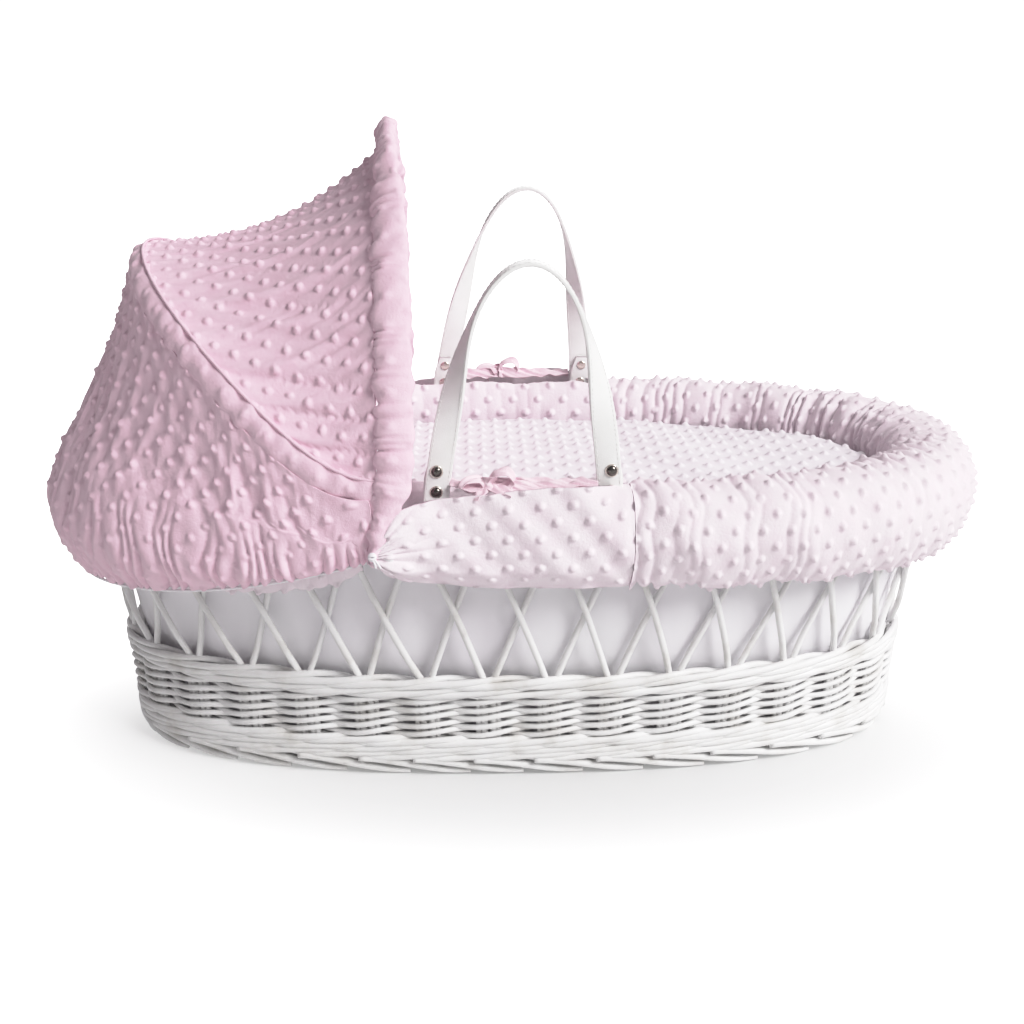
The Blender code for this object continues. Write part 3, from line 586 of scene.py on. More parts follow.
def pairing_rows():
    """Rows of two strands that cross between the stake pairs, one before and one behind each."""
    bundle = Bundle()
    turn, pair = strand_turns(10)
    length = turn * BAND_LENGTH
    pitch = (PAIRING_TO - PAIRING_FROM) / PAIRING_ROWS
    for row in range(PAIRING_ROWS):
        for strand in (0, 1):
            seed = row * 2 + strand
            phase = pair + strand + row
            out = PAIRING_OUT * np.cos(np.pi * phase)
            lift = PAIRING_LIFT * np.sin(np.pi * phase)
            wobble = waves(length, 40 + seed, (0.05, 0.13), (0.00025, 0.0004))
            z = PAIRING_FROM + (row + 0.5) * pitch + lift + wobble
            size = PAIRING_R * (1 + waves(length, 90 + seed, (0.11, 0.31), (0.04, 0.05)))
            bundle.rod(wall(turn, z, out), size, closed=True)
    rows = ("weave_row_03", "weave_row_04", "weave_row_05")
    bundle.build("pairing_weave", WILLOW, "basket", *rows)


def eased(values):
    """A closed line's values averaged with their two neighbours on each side."""
    count = len(values)
    return np.convolve(np.tile(values, 3), np.ones(5) / 5, "same")[count : 2 * count]


def wale_rows(name, bottom, top, rows, radius, seed, nodes):
    """Three-rod wale: each rod climbs as it passes before two pairs, then drops behind one."""
    bundle = Bundle()
    turn, pair = strand_turns(12)
    pitch = (top - bottom) / rows
    length = turn * BAND_LENGTH
    for row in range(rows):
        for strand in range(3):
            draw = seed + row * 3 + strand
            share = np.mod((pair + strand + 0.35 + row * 0.5) / 3, 1.0)
            out = eased((0.0028 + radius) * np.interp(share, WALE_KNOTS, WALE_REACH))
            lift = eased((pitch + radius) * 0.84 * np.interp(share, WALE_KNOTS, WALE_CLIMB))
            z = bottom + (row + 0.5) * pitch + lift
            z = z + waves(length, draw, (0.09, 0.21), (0.0004, 0.0005))
            size = radius * (1 + waves(length, 50 + draw, (0.08, 0.29), (0.06, 0.06)))
            bundle.rod(wall(turn, z, out), size, closed=True)
    bundle.build(name, WILLOW, "basket", *nodes)


def stake_rods():
    """Leaning stakes above the band; those that lean back pass outside those that lean on."""
    top = RIM_Z - 0.006
    for lean, name, nodes in ((-1.0, "stakes_back", ()), (1.0, "stakes_on", ("crossed_stakes",))):
        bundle = Bundle()
        for pair in range(STAKE_PAIRS):
            start = (pair + STAKE_PHASE) / STAKE_PAIRS
            z = np.concatenate(([0.016, 0.05, 0.092], np.linspace(BAND_TOP, top, 16)))
            share = np.clip((z - BAND_TOP) / (top - BAND_TOP), 0, 1)
            bow = 0.06 * rng.uniform(-1, 1) * np.sin(np.pi * share)
            ease = share ** rng.uniform(0.92, 1.06) + bow
            turn = start + lean * (STAKE_BESIDE / BAND_LENGTH + ease / STAKE_PAIRS)
            out = np.where(z <= BAND_TOP, 0.0, -lean * STAKE_LAYER * smooth(share * 6))
            radius = STAKE_R * (1 - 0.12 * share) * rng.uniform(0.93, 1.05)
            facing = outward(np.full(len(z), start), z)
            bundle.rod(wall(turn, z, out), radius, facing, sides=10)
        bundle.build(name, WILLOW, "basket", *nodes)


def by_stakes():
    """Short rods beside the stakes inside the band."""
    bundle = Bundle()
    for pair in range(STAKE_PAIRS):
        start = (pair + STAKE_PHASE) / STAKE_PAIRS
        for step in (-1.0, 1.0):
            shift = step * rng.uniform(0.0088, 0.0100) / BAND_LENGTH
            z = np.linspace(0.014, BAND_TOP + rng.uniform(-0.007, -0.001), 7)
            path = wall(start + shift, z, rng.uniform(-0.0006, 0.0006))
            bundle.rod(path, rng.uniform(0.0023, 0.0028), outward(np.full(7, start), z))
    bundle.build("by_stakes", WILLOW, "basket")


def foot_rods():
    """The plaited foot: each stake's end bends down outside and slants over the next pairs."""
    bundle = Bundle()
    share = np.linspace(0, 1, 26)
    for pair in range(STAKE_PAIRS):
        for layer, (span, high_z, low_z, out_a, out_b) in enumerate(FOOT_LAYERS):
            start = pair + STAKE_PHASE - 0.22 + 0.4 * layer + rng.uniform(-0.06, 0.06)
            turn = (start + share * span) / STAKE_PAIRS
            z = high_z + (low_z - high_z) * smooth(share * 1.05)
            out = out_a + (out_b - out_a) * share
            radius = 0.0041 * (1 - 0.42 * share**2) * rng.uniform(0.92, 1.06)
            bundle.rod(wall(turn, z, out), radius, sides=10)
    bundle.build("foot_rods", WILLOW, "basket", "foot_border")


def rim_rods():
    """The rim: three strands twisted round the rim's line."""
    bundle = Bundle()
    turn, pair = strand_turns(14)
    for strand in range(3):
        angle = 2 * np.pi * (pair * 0.75 + strand / 3)
        path = wall(turn, RIM_Z + RIM_TWIST * np.sin(angle), RIM_TWIST * np.cos(angle))
        bundle.rod(path, RIM_STRAND_R, closed=True)
    bundle.build("rim_rods", WILLOW, "basket", "rim_border")


def base_weave():
    """The floor: rods woven across three long sticks."""
    bundle = Bundle()
    half_a, half_b, top = high("base_mat")
    z_middle = (top + low("base_mat")[2]) / 2
    for k, x in enumerate(np.arange(-half_a + 0.008, half_a - 0.006, FLOOR_PITCH)):
        reach = half_b * (1 - (abs(x) / half_a) ** 2.4) ** (1 / 2.4) - 0.003
        y = np.linspace(-reach, reach, 28)
        z = z_middle + 0.0012 * np.sin(y / 0.055 * np.pi + k * np.pi)
        bundle.rod(np.stack([np.full_like(y, x), y, z], axis=1), FLOOR_ROD_R, sides=6)
    bundle.build("base_weave", WILLOW, "basket", "base_mat")
    for side in ("near", "middle", "far"):
        base_stick(side)


def base_stick(side):
    near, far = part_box(f"base_stick_{side}")
    x = np.linspace(near[0], far[0], 40)
    y = (near[1] + far[1]) / 2 + waves(x, 5, (0.3,), (0.0008,))
    z = np.full_like(x, (near[2] + far[2]) / 2)
    stick = Bundle()
    stick.rod(np.stack([x, y, z], axis=1), (far[2] - near[2]) / 2, sides=12)
    stick.build(f"stick_{side}", WILLOW, "basket", f"base_stick_{side}")


def willow():
    wale_rows("lower_wale", 0.0195, 0.0430, 3, 0.0035, 11, ("weave_row_01", "weave_row_02"))
    pairing_rows()
    wale_rows("upper_wale", 0.0905, 0.1085, 2, 0.0034, 31, ("weave_row_06",))
    stake_rods()
    by_stakes()
    foot_rods()
    rim_rods()
    base_weave()


# ---------------------------------------------------------------- lining
LINING_LINE = [
    (-0.030, 0.0205),
    (-0.024, 0.060),
    (-0.0135, 0.100),
    (-0.0100, 0.150),
    (-0.0098, 0.236),
]
LINING_T, CREASE = 0.0016, 0.0016


def lining():
    """White cloth inside the stakes, lightly creased, standing further in behind the band."""
    turn = np.linspace(0, 1, 721)[:, None]
    levels = curve(LINING_LINE, 110)
    out, z = levels[None, :, 0], levels[None, :, 1]
    length = turn * BAND_LENGTH
    crease = CREASE * waves(length + 0.10 * z, 3, (0.06, 0.15), (0.5, 0.8))
    crease = np.minimum(crease * (0.3 + 0.7 * smooth((z - 0.08) / 0.08)), 0.0012)
    front = wall(turn, z, out + crease)
    back = wall(turn, z, out - LINING_T + crease)
    u = np.broadcast_to(length, front.shape[:2])
    v = np.broadcast_to(z, front.shape[:2])
    shell("cotton_lining", front, back, (u, v), COTTON, "basket", "lining")


# ---------------------------------------------------------------- padding
SEAM_FOOT_X, SEAM_HEAD_X = 0.0950, -0.1400
FLAP_BULGE, FLAP_HEAD_X, FLAP_T = 0.0310, -0.1262, 0.0035
PAD_UNDERSIDE = (
    (0.0020, 0.0),
    (0.0128, 0.262),
    (0.0120, 0.282),
    (0.0, 0.2868),
    (-0.0120, 0.282),
    (-0.0128, 0.262),
    (-0.0200, 0.246),
)
INNER_FACE = [
    (-0.0190, 0.2960),
    (-0.0225, 0.3030),
    (-0.0300, 0.2985),
    (-0.0350, 0.2800),
    (-0.0350, 0.2600),
    (-0.0330, 0.2400),
]
INNER_BACK = [
    (-0.0170, 0.2950),
    (-0.0165, 0.2850),
    (-0.0165, 0.2650),
    (-0.0200, 0.2500),
    (-0.0230, 0.2420),
    (-0.0260, 0.2400),
]


def pad_inward(turn):
    """How far the padding reaches inwards from the rim: further at the basket's two ends."""
    return 0.034 + 0.012 * np.abs(np.cos(2 * np.pi * turn)) ** 3


def bumper_outline(turn, bulge, crown, hem, count):
    """The padding's visible face at one place: hem, bulge, crown, then down inside."""
    inner = pad_inward(turn)
    points = [
        (0.0050, hem - 0.001),
        (bulge * 0.55, hem + 0.008),
        (bulge * 0.90, hem + 0.032),
        (bulge, 0.262),
        (bulge * 0.80, 0.287),
        (bulge * 0.35, crown - 0.002),
        (-inner * 0.35, crown - 0.0005),
        (-inner * 0.85, crown - 0.013),
        (-inner - 0.001, 0.266),
        (-inner + 0.001, 0.243),
    ]
    return curve(points, count)


def bumper(end, turn, columns, bulge, crown, hem, lift, fold):
    """The padding over the rim along `turn`; its hem rises by `lift` at the two seams."""
    from_seam = np.minimum(turn - turn[0], turn[-1] - turn) * BAND_LENGTH
    hems = hem + lift * np.exp(-from_seam / 0.020)
    bulges = bulge - np.maximum(bulge - FLAP_BULGE, 0) * np.exp(-from_seam / 0.06)
    places = zip(turn, bulges, hems)
    section = np.stack([bumper_outline(t, b, crown, h, columns) for t, b, h in places])
    base = round_rim(turn[:, None], section[..., 0], section[..., 1])
    u, v = grid_lengths(base)
    u = middle_column(u)
    height = fold(u, v) + dots(u * 1.12, v)
    front = base + grid_normals(base) * height[..., None]
    under = np.array(PAD_UNDERSIDE)
    back = []
    for low_edge in hems:
        under[0, 1] = low_edge + 0.003
        back.append(curve(under, columns // 4))
    back = np.stack(back)
    back = round_rim(turn[:, None], back[..., 0], back[..., 1])
    rings = np.concatenate([front, back[:, ::-1]], axis=1)
    u = np.concatenate([u, np.repeat(u[:, :1], back.shape[1], axis=1)], axis=1)
    v = np.concatenate([v, v[:, : back.shape[1]]], axis=1)
    loft(f"padding_{end}", rings, (u, v), PALE_PINK, "basket", f"bumper_{end}")


def foot_folds(u, v):
    """Gathers: strong beside the seams and over the inside of the end, light elsewhere."""
    from_seam = np.minimum(u, u.max() - u)
    seam = np.exp(-from_seam / 0.05)
    inside = smooth((v / v.max() - 0.50) / 0.25)
    end = smooth((from_seam - 0.16) / 0.12)
    hem = np.exp(-v / 0.014)
    patches = smooth(0.5 + 0.5 * waves(u, 24, (0.16, 0.31), (0.7, 0.7)))
    deep = 0.0026 * seam + 0.0042 * inside * end + 0.0012 * inside
    deep = deep + 0.0022 * hem + 0.0012 * patches + 0.0003
    warp = 0.008 * waves(v, 21, (0.05, 0.11), (0.4, 0.6))
    slack = waves(u + 0.5 * v, 23, (0.045, 0.10), (0.5, 0.8)) * 0.0013
    return deep * (pleats(u + warp, 22, 0.0175, 0.5) - 0.55) + slack


def head_folds(u, v):
    """Light gathers, deeper at the hem."""
    gathers = (0.0010 + 0.0018 * np.exp(-v / 0.02)) * (pleats(u, 27, 0.018) - 0.5)
    return gathers + 0.0012 * waves(u + 0.4 * v, 28, (0.05, 0.1), (0.5, 0.8))


def padding():
    turn = np.linspace(turn_at_x(SEAM_FOOT_X, "near"), 1 + turn_at_x(SEAM_FOOT_X, "far"), 640)
    hem = 0.2125 - 0.014 * np.abs(np.cos(2 * np.pi * turn)) ** 3
    bumper("foot", turn, 132, 0.0390, CROWN_Z, hem, 0.005, foot_folds)
    turn = np.linspace(turn_at_x(SEAM_HEAD_X, "far"), turn_at_x(SEAM_HEAD_X, "near"), 420)
    hem = 0.2150 - 0.022 * np.abs(np.cos(2 * np.pi * turn)) ** 1.5
    bumper("head", turn, 100, 0.0180, CROWN_Z - 0.003, hem, 0.024, head_folds)


def flap_surface(x, turns, pinch, v):
    """The flap without its folds: drawn in at its head end, padding-like at its foot end."""
    gap = x - x[0]
    top = 0.2640 + 0.0310 * (1 - np.exp(-gap / 0.011)) + 0.0150 * smooth(gap / 0.19) ** 0.7
    hem = 0.2450 - 0.0300 * (1 - np.exp(-gap / 0.032))
    z = hem[:, None] + (top - hem)[:, None] * v
    swell = np.sin(np.pi * np.clip(v * 0.86 + 0.10, 0, 1))
    puff = 0.0225 + 0.0085 * swell - 0.0125 * (1 - smooth(v / 0.22))
    over_pivot = 0.0220 * np.exp(-(((x - PIVOT.x) / 0.030) ** 2))[:, None] * (1 - 0.4 * v)
    out = puff + over_pivot + 0.006 * pinch * (v - 0.5)
    count = v.shape[1]
    rounded = bumper_outline(turns[-1], FLAP_BULGE, CROWN_Z, 0.2130, 4 * count)
    rounded = rounded[: np.argmax(rounded[:, 1]) + 1]
    rounded = rounded[np.linspace(0, len(rounded) - 1, count).astype(int)]
    alike = np.exp(-(((x[-1] - x) / 0.024) ** 2))[:, None]
    out = out * (1 - alike) + rounded[None, :, 0] * alike
    z = z * (1 - alike) + rounded[None, :, 1] * alike
    return round_rim(turns[:, None], out, z)


def flap(side):
    """The outer cloth between the handle legs, drawn into the tie cord at its head end."""
    x = np.linspace(FLAP_HEAD_X, SEAM_FOOT_X - 0.0004, 190)
    turns = np.array([turn_at_x(value, side) for value in x])
    gap = x - x[0]
    v = np.linspace(0, 1, 96)[None, :]
    pinch = np.exp(-gap / 0.028)[:, None]
    base = flap_surface(x, turns, pinch, v)
    uu = np.broadcast_to(gap[:, None], base.shape[:2])
    vv = np.broadcast_to(v * 0.098, base.shape[:2])
    fan = np.arctan2((v - 0.40) * 0.085, gap[:, None] + 0.006)
    folds = 0.0046 * pinch**0.8 * (pleats(fan, 61, 0.30) - 0.5)
    folds = folds + 0.0011 * waves(uu + 0.8 * vv, 62, (0.03, 0.07), (0.5, 0.9))
    seam = np.exp(-(((x[-1] - x) / 0.005) ** 2))[:, None] * 0.0022
    raised = dots(uu - 0.004, vv + 0.0035) * (1 - 0.6 * pinch)
    normal = outward(turns, RIM_Z)[:, None, :]
    front = base + normal * (folds + raised - seam)[..., None]
    back = base + normal * (folds - FLAP_T)[..., None]
    if SIDES[side] > 0:
        front, back, uu, vv = front[:, ::-1], back[:, ::-1], uu[:, ::-1], vv[:, ::-1]
    shell(f"flap_{side}", front, back, (uu, vv), PALE_PINK, "basket", f"side_flap_{side}")


def inner_padding(side):
    """The padding inside the rim between the handle legs."""
    rows, columns = 190, 90
    x = np.linspace(SEAM_HEAD_X + 0.0018, SEAM_FOOT_X - 0.0006, rows)
    turns = np.array([turn_at_x(value, side) for value in x])[:, None]
    face, rear = curve(INNER_FACE, columns), curve(INNER_BACK, columns)
    base = round_rim(turns, face[None, :, 0], face[None, :, 1])
    back = round_rim(turns, rear[None, :, 0], rear[None, :, 1])
    u, v = grid_lengths(base)
    normal = grid_normals(base)
    middle = (rows // 2, columns // 2)
    sign = np.sign(np.sum(normal[middle] * (base - back)[middle]))
    height = dots(u, v) + 0.0012 * waves(u + 0.5 * v, 71, (0.04, 0.09), (0.5, 0.8))
    height = height + 0.0010 * pleats(u, 72, 0.02)
    front = base + sign * normal * height[..., None]
    if sign < 0:
        front, back, u, v = front[:, ::-1], back[:, ::-1], u[:, ::-1], v[:, ::-1]
    name, node = f"inner_padding_{side}", f"inner_panel_{side}"
    shell(name, front, back, (u, v), PALE_PINK, "basket", node)


# ---------------------------------------------------------------- bedding
QUILT_BEYOND, QUILT_T, QUILT_POWER = 0.0015, 0.010, 2.2
TUCK_DEPTH, TUCK_FROM = 0.013, 0.94


def coverlet():
    """The quilt's top: a full sheet that dips where it tucks in beside the padding."""
    s = np.linspace(-1, 1, 380)[:, None]
    t = np.linspace(-1, 1, 200)[None, :]
    half_a, half_b = high("coverlet")[0] + QUILT_BEYOND, high("coverlet")[1]
    x = half_a * s * np.sqrt(1 - t**2 / 2)
    y = half_b * t * np.sqrt(1 - s**2 / 2)
    edge = np.abs(x / half_a) ** QUILT_POWER + np.abs(y / half_b) ** QUILT_POWER
    edge = edge ** (1 / QUILT_POWER)
    tuck = TUCK_DEPTH * smooth((edge - TUCK_FROM) / 0.08) ** 1.5
    z = COVER_Z + 0.003 + 0.004 * (1 - edge**2) - tuck
    z = z + 0.0011 * waves(x + 0.3 * y, 81, (0.09, 0.16), (0.5, 0.8))
    z = z + 0.0011 * waves(y - 0.2 * x, 82, (0.08, 0.15), (0.5, 0.8))
    base = np.stack([x, y, z], axis=-1)
    front = base + grid_normals(base) * dots(x + 0.004, y + 0.003)[..., None]
    back = base - np.array((0, 0, QUILT_T))
    shell("coverlet_top", front, back, (x, y), QUILT_PINK, "bedding", "coverlet")


def coverlet_sides():
    """The quilt's sides, tucked down to the mattress."""
    rows, columns = 481, 60
    turn = np.linspace(0, 1, rows)[:, None]
    share = np.linspace(0, 1, columns)[None, :]
    bottom = wall(turn, 0.0645, -0.0200)
    top = round_rim(turn, -pad_inward(turn) - 0.0080, 0.238)
    base = bottom + (top - bottom) * share[..., None]
    u = np.broadcast_to(turn * BAND_LENGTH, (rows, columns))
    v = np.broadcast_to(share * 0.18, (rows, columns))
    push = 0.0016 * (pleats(u, 85, 0.02) - 0.5)
    normal = outward(turn, RIM_Z)
    front = base + normal * push[..., None]
    back = base - normal * 0.006
    shell("coverlet_sides", front, back, (u, v), QUILT_PINK, "bedding")


def mattress():
    """A thin white mattress with rounded edges."""
    low_z, high_z = low("mattress")[2], high("mattress")[2]
    profile = [
        (-0.030, low_z),
        (-0.0165, low_z + 0.003),
        (-0.0145, (low_z + high_z) / 2),
        (-0.0165, high_z - 0.003),
        (-0.030, high_z),
    ]
    turn = np.linspace(0, 1, 361)[:-1]
    rings = [wall(turn, z, out) for out, z in curve(profile, 24)]
    over = [np.array(rings[-1]) * (scale, scale, 1) for scale in (0.7, 0.4, 0.1)]
    under = [np.array(rings[0]) * (scale, scale, 1) for scale in (0.1, 0.4, 0.7)]
    rings = np.stack(under + rings + over)
    u = np.broadcast_to(turn[None, :] * BAND_LENGTH, rings.shape[:2])
    v = np.broadcast_to(np.arange(len(rings))[:, None] * 0.004, rings.shape[:2])
    loft("mattress_pad", rings[::-1], (u, v), COTTON, "bedding", "mattress")


# ---------------------------------------------------------------- hood
ROOF_END, ROOF_END_FRONT, REAR_END = 8.0, 11.0, 2.5
SLEEVE_REACH, SLEEVE_FRONT = 0.0155, 0.0165
HEM_END_X, FLEECE_T = -0.128, 0.0020
ROOF_PITCH, ROOF_DEPTH = 0.062, 0.0060
REAR_PITCH, REAR_DEPTH, REAR_WIDER = 0.085, 0.0055, 0.0085
GATHER_PITCH, GATHER_DEPTH, GATHER_FROM = 0.0145, 0.0062, 0.52
RUCK_PITCH, RUCK_FRONT, RUCK_MID = 0.0120, 0.0066, 0.0008
CORD_R = 0.0014
HOOPS = {
    "mid": (MID_LENGTH, MID_HALF_WIDTH, MID_LEAN, 0.0),
    "front": (FRONT_LENGTH, FRONT_HALF_WIDTH, FRONT_LEAN, FRONT_SKEW),
}


def hoop_points(angle, hoop, grow=0.0):
    """Points of a hoop's wire from its near end over the top, `grow` outside it."""
    length, half_width, lean, skew = HOOPS[hoop]
    height = (length + grow) * np.sin(angle)
    bend = skew * np.cos(angle) * (1 - (1 - np.clip(np.sin(angle), 0, 1)) ** 6)
    x = PIVOT.x - height * math.sin(lean) + bend
    y = -(half_width + grow) * np.cos(angle)
    return np.stack([x, y, PIVOT.z + height * math.cos(lean)], axis=-1)


def seam_shift(angle):
    """How far the middle hoop's cloth is drawn forward of its wire, most near the two ends."""
    along = MID_LENGTH * np.sin(angle)
    near_end = np.exp(-np.maximum(along - 0.045, 0) / 0.032) * np.minimum(along / 0.045, 1)
    return 0.003 * smooth(1.4 - 1.2 * np.sin(angle)) + 0.034 * near_end


def mid_band(angle, grow, back):
    """Points on the middle hoop's cloth band, `back` from its middle line."""
    shift = (back - seam_shift(angle))[:, None]
    return hoop_points(angle, "mid", grow) + hoop_across(MID_LEAN) * shift


def hoop_across(lean):
    """Square to a hoop's plane, towards the head end."""
    return np.array((-math.cos(lean), 0.0, -math.sin(lean)))


def along_inward(angle, hoop):
    """Where a sleeve hangs from its wire: back along the sides of a hoop, down at its top."""
    weight = (0.80 * np.sin(angle) ** 4)[..., None]
    across = hoop_across(HOOPS[hoop][2])
    inward = unit(np.array(PIVOT) - hoop_points(angle, hoop))
    return unit(across * (1 - weight) + inward * weight)


def towards(piece):
    """Bakes the piece's placement into its mesh."""
    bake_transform(piece)


def held_edges(rows, columns, held_from=-1):
    """Cloth weights: 1 on all four edges and from one column on, 0 where the sheet is free."""
    hold = np.zeros((rows, columns))
    hold[:, 0] = 1
    hold[:, held_from:] = 1
    hold[[0, -1]] = 1
    return hold


def hood_roof():
    """The cloth from the middle hoop to the front sleeve, hung as cloth and drawn into folds."""
    rows, columns = 156, 60
    angle = np.radians(np.linspace(ROOF_END, 180 - ROOF_END, rows))
    front_angle = np.radians(np.linspace(ROOF_END_FRONT, 180 - ROOF_END_FRONT, rows))
    share = np.linspace(0, 1, columns)[None, :]
    back_edge = mid_band(angle, 0.0030, -0.0085)
    front_edge = hoop_points(front_angle, "front")
    front_edge = front_edge + along_inward(front_angle, "front") * SLEEVE_REACH
    flat = back_edge[:, None] + (front_edge - back_edge)[:, None] * share[..., None]
    spread = np.minimum(angle, np.pi - angle)[:, None]
    drop = np.radians(24) * np.sin(2 * spread) * share
    side = np.where(angle[:, None] < np.pi / 2, 0.0, 0.4)
    ridges = pleats((spread + drop) * 0.32 + side, 91, ROOF_PITCH, 0.40) - 0.5
    depth = ROOF_DEPTH * np.sin(np.pi * share**0.8)
    depth = depth * (0.45 + 0.55 * smooth((1.35 - spread) / 0.7))
    sag = 0.024 * np.sin(angle)[:, None] ** 3 * np.sin(np.pi * share**1.2)
    inward = unit(np.array(PIVOT) * (1, 0, 1) - flat * (1, 0, 1))
    normal = unit(np.array((-0.25, 0, 0)) + flat - np.array(PIVOT))
    start = flat + inward * sag[..., None] + normal * (depth * ridges)[..., None]
    settled = refine(settle(start, held_edges(rows, columns), 0.004), 440, 176)
    roof = cloth_piece("hood_roof_cloth", settled, "hood_roof", 92)
    towards(roof)


def cloth_piece(name, base, node, seed, dot_share=1.0, extra=0.0):
    """A fleece sheet through settled points, with its dots, fine rumples and an underside."""
    middle = (base.shape[0] // 2, base.shape[1] // 2)
    normal = unit(soften(grid_normals(base), 8))
    flip = np.dot(normal[middle], base[middle] - np.array(PIVOT)) < 0
    normal = -normal if flip else normal
    u, v = grid_lengths(base)
    u, v = middle_column(u), v - middle_column(v)
    rumple = 0.0007 * waves(u + 0.7 * v, seed, (0.026, 0.05), (0.5, 0.8)) + extra
    raised = rumple + dot_share * dots(u, v, radius=0.0047, height=0.0029)
    top = base + normal * raised[..., None]
    under = base + normal * (rumple - FLEECE_T)[..., None]
    if flip:
        top, under, u, v = top[:, ::-1], under[:, ::-1], u[:, ::-1], v[:, ::-1]
    return shell(name, top, under, (u, v), SHADED_PINK, None, node)


def hem_line(share, down=0.0):
    """The hood's gathered hem round the head end, and its shares of the way round."""
    near, far = turn_at_x(HEM_END_X, "near"), turn_at_x(HEM_END_X, "far")
    turn = near + (far - near) * share
    climb = np.abs(2 * share - 1) ** 2.2
    return round_rim(turn, 0.016 + 0.010 * climb, 0.186 + down + 0.060 * climb), turn


def rear_surface(rows, columns):
    """The rear cloth without folds: from the middle band, wide over the padding, in to the hem."""
    angle = np.radians(np.linspace(REAR_END, 180 - REAR_END, rows))
    even = np.linspace(0, 1, rows)
    share = (1 - np.cos(np.pi * even)) / 2 * 0.35 + 0.65 * even
    hem, turn = hem_line(share)
    middle = 1 - np.abs(2 * share - 1) ** 3
    top = mid_band(angle, 0.0020, 0.0120)
    wide = round_rim(turn, 0.0325 + 0.006 * middle, 0.262)
    low_wide = round_rim(turn, 0.031 + 0.007 * middle, 0.228)
    climb = smooth(np.abs(2 * share - 1) ** 4)[:, None]
    low_wide = low_wide * (1 - climb) + (0.55 * wide + 0.45 * hem) * climb
    upper = top * 0.66 + wide * 0.34
    lower = top * 0.30 + wide * 0.70
    lines = np.stack([top, upper, lower, wide, low_wide, hem], axis=1)
    base = np.stack([curve(line, columns) for line in lines])
    near_end, far_end = np.exp(-share / 0.07), np.exp(-(1 - share) / 0.07)
    base[..., 1] += (REAR_WIDER * (far_end - near_end))[:, None]
    return base


def hood_rear():
    """The cloth behind the middle hoop: hung from it, lying on the padding, gathered at its hem."""
    rows, columns, held_from = 190, 66, 38
    base = rear_surface(rows, columns)
    u, v = grid_lengths(base)
    u = middle_column(u)
    fall = v / v[:, -1:]
    normal = unit(base - np.array(PIVOT) * (1, 0, 1))
    broad = smooth((fall - 0.05) / 0.35) * (1 - 0.55 * smooth((fall - 0.55) / 0.4))
    ridges = pleats(u + 0.25 * (v - 0.1), 96, REAR_PITCH, 0.55) - 0.5
    start = base + normal * (REAR_DEPTH * broad * ridges)[..., None]
    hold = held_edges(rows, columns, held_from)
    settled = refine(settle(start, hold, 0.003), 520, 170)
    u, v = grid_lengths(settled)
    u = middle_column(u)
    gather = smooth((v / v[:, -1:] - GATHER_FROM) / 0.40)
    warp = 0.004 * waves(v, 95, (0.08,), (0.6,))
    gathers = GATHER_DEPTH * gather * (pleats(u + warp, 94, GATHER_PITCH, 0.5) - 0.55)
    rear = cloth_piece("hood_rear_cloth", settled, "hood_rear", 97, 1 - 0.35 * gather, gathers)
    towards(rear)


def ruck(u, v, turn, seed, depth):
    """Small gathers across a sleeve, deeper in patches and at its seam, with soft lumps."""
    patches = depth * (0.55 + 0.45 * waves(u, seed + 3, (0.07, 0.16), (0.7, 0.7)))
    seam = 0.55 + 0.45 * np.cos(turn)[None]
    gathers = patches * seam * (pleats(u, seed, RUCK_PITCH, 0.9) - 0.5)
    lumps = 0.0013 * waves(u, seed + 1, (0.025, 0.05), (0.6, 0.6))
    lumps = lumps * (1 + 0.4 * np.cos(2 * turn)[None])
    return gathers + lumps + 0.0006 * waves(u - 1.5 * v, seed + 2, (0.03, 0.05), (0.6, 0.6))


def tube(name, rings, path, uv, finish, body, node):
    """A loft round a line, its rings turned so that its faces look outwards."""
    u, v = uv
    k = len(path) // 2
    across, onward = rings[k, 1] - rings[k, 0], rings[k + 1, 0] - rings[k, 0]
    if np.dot(np.cross(across, onward), rings[k, 0] - path[k]) > 0:
        rings, u, v = rings[:, ::-1], u[:, ::-1], v[:, ::-1]
    loft(name, rings, (u, v), finish, body, node)


def sleeve(name, path, back, half, thick, body, node, seed, depth):
    """A flat cloth tube round a line, `half` to each side along `back`, with rucks this deep."""
    columns = 44
    along = unit(np.gradient(path, axis=0))
    back = unit(back - along * np.sum(back * along, axis=1, keepdims=True))
    face = np.cross(along, back)
    turn = 2 * np.pi * np.arange(columns) / columns
    length = path_lengths(path)
    u = np.repeat(length[:, None], columns, axis=1)
    v = np.broadcast_to(turn[None] * (half + thick).mean() / 2, u.shape)
    lump = 1 + 0.14 * waves(length, seed, (0.03, 0.07), (0.5, 0.6))
    swell = ruck(u, v, turn, seed + 1, depth) + 0.5 * dots(u, v)
    rings = (
        path[:, None]
        + back[:, None] * ((half[:, None] + 0.7 * swell) * np.cos(turn))[..., None]
        + face[:, None] * (((thick * lump)[:, None] + swell) * np.sin(turn))[..., None]
    )
    tube(name, rings, path, (u, v), SHADED_PINK, body, node)


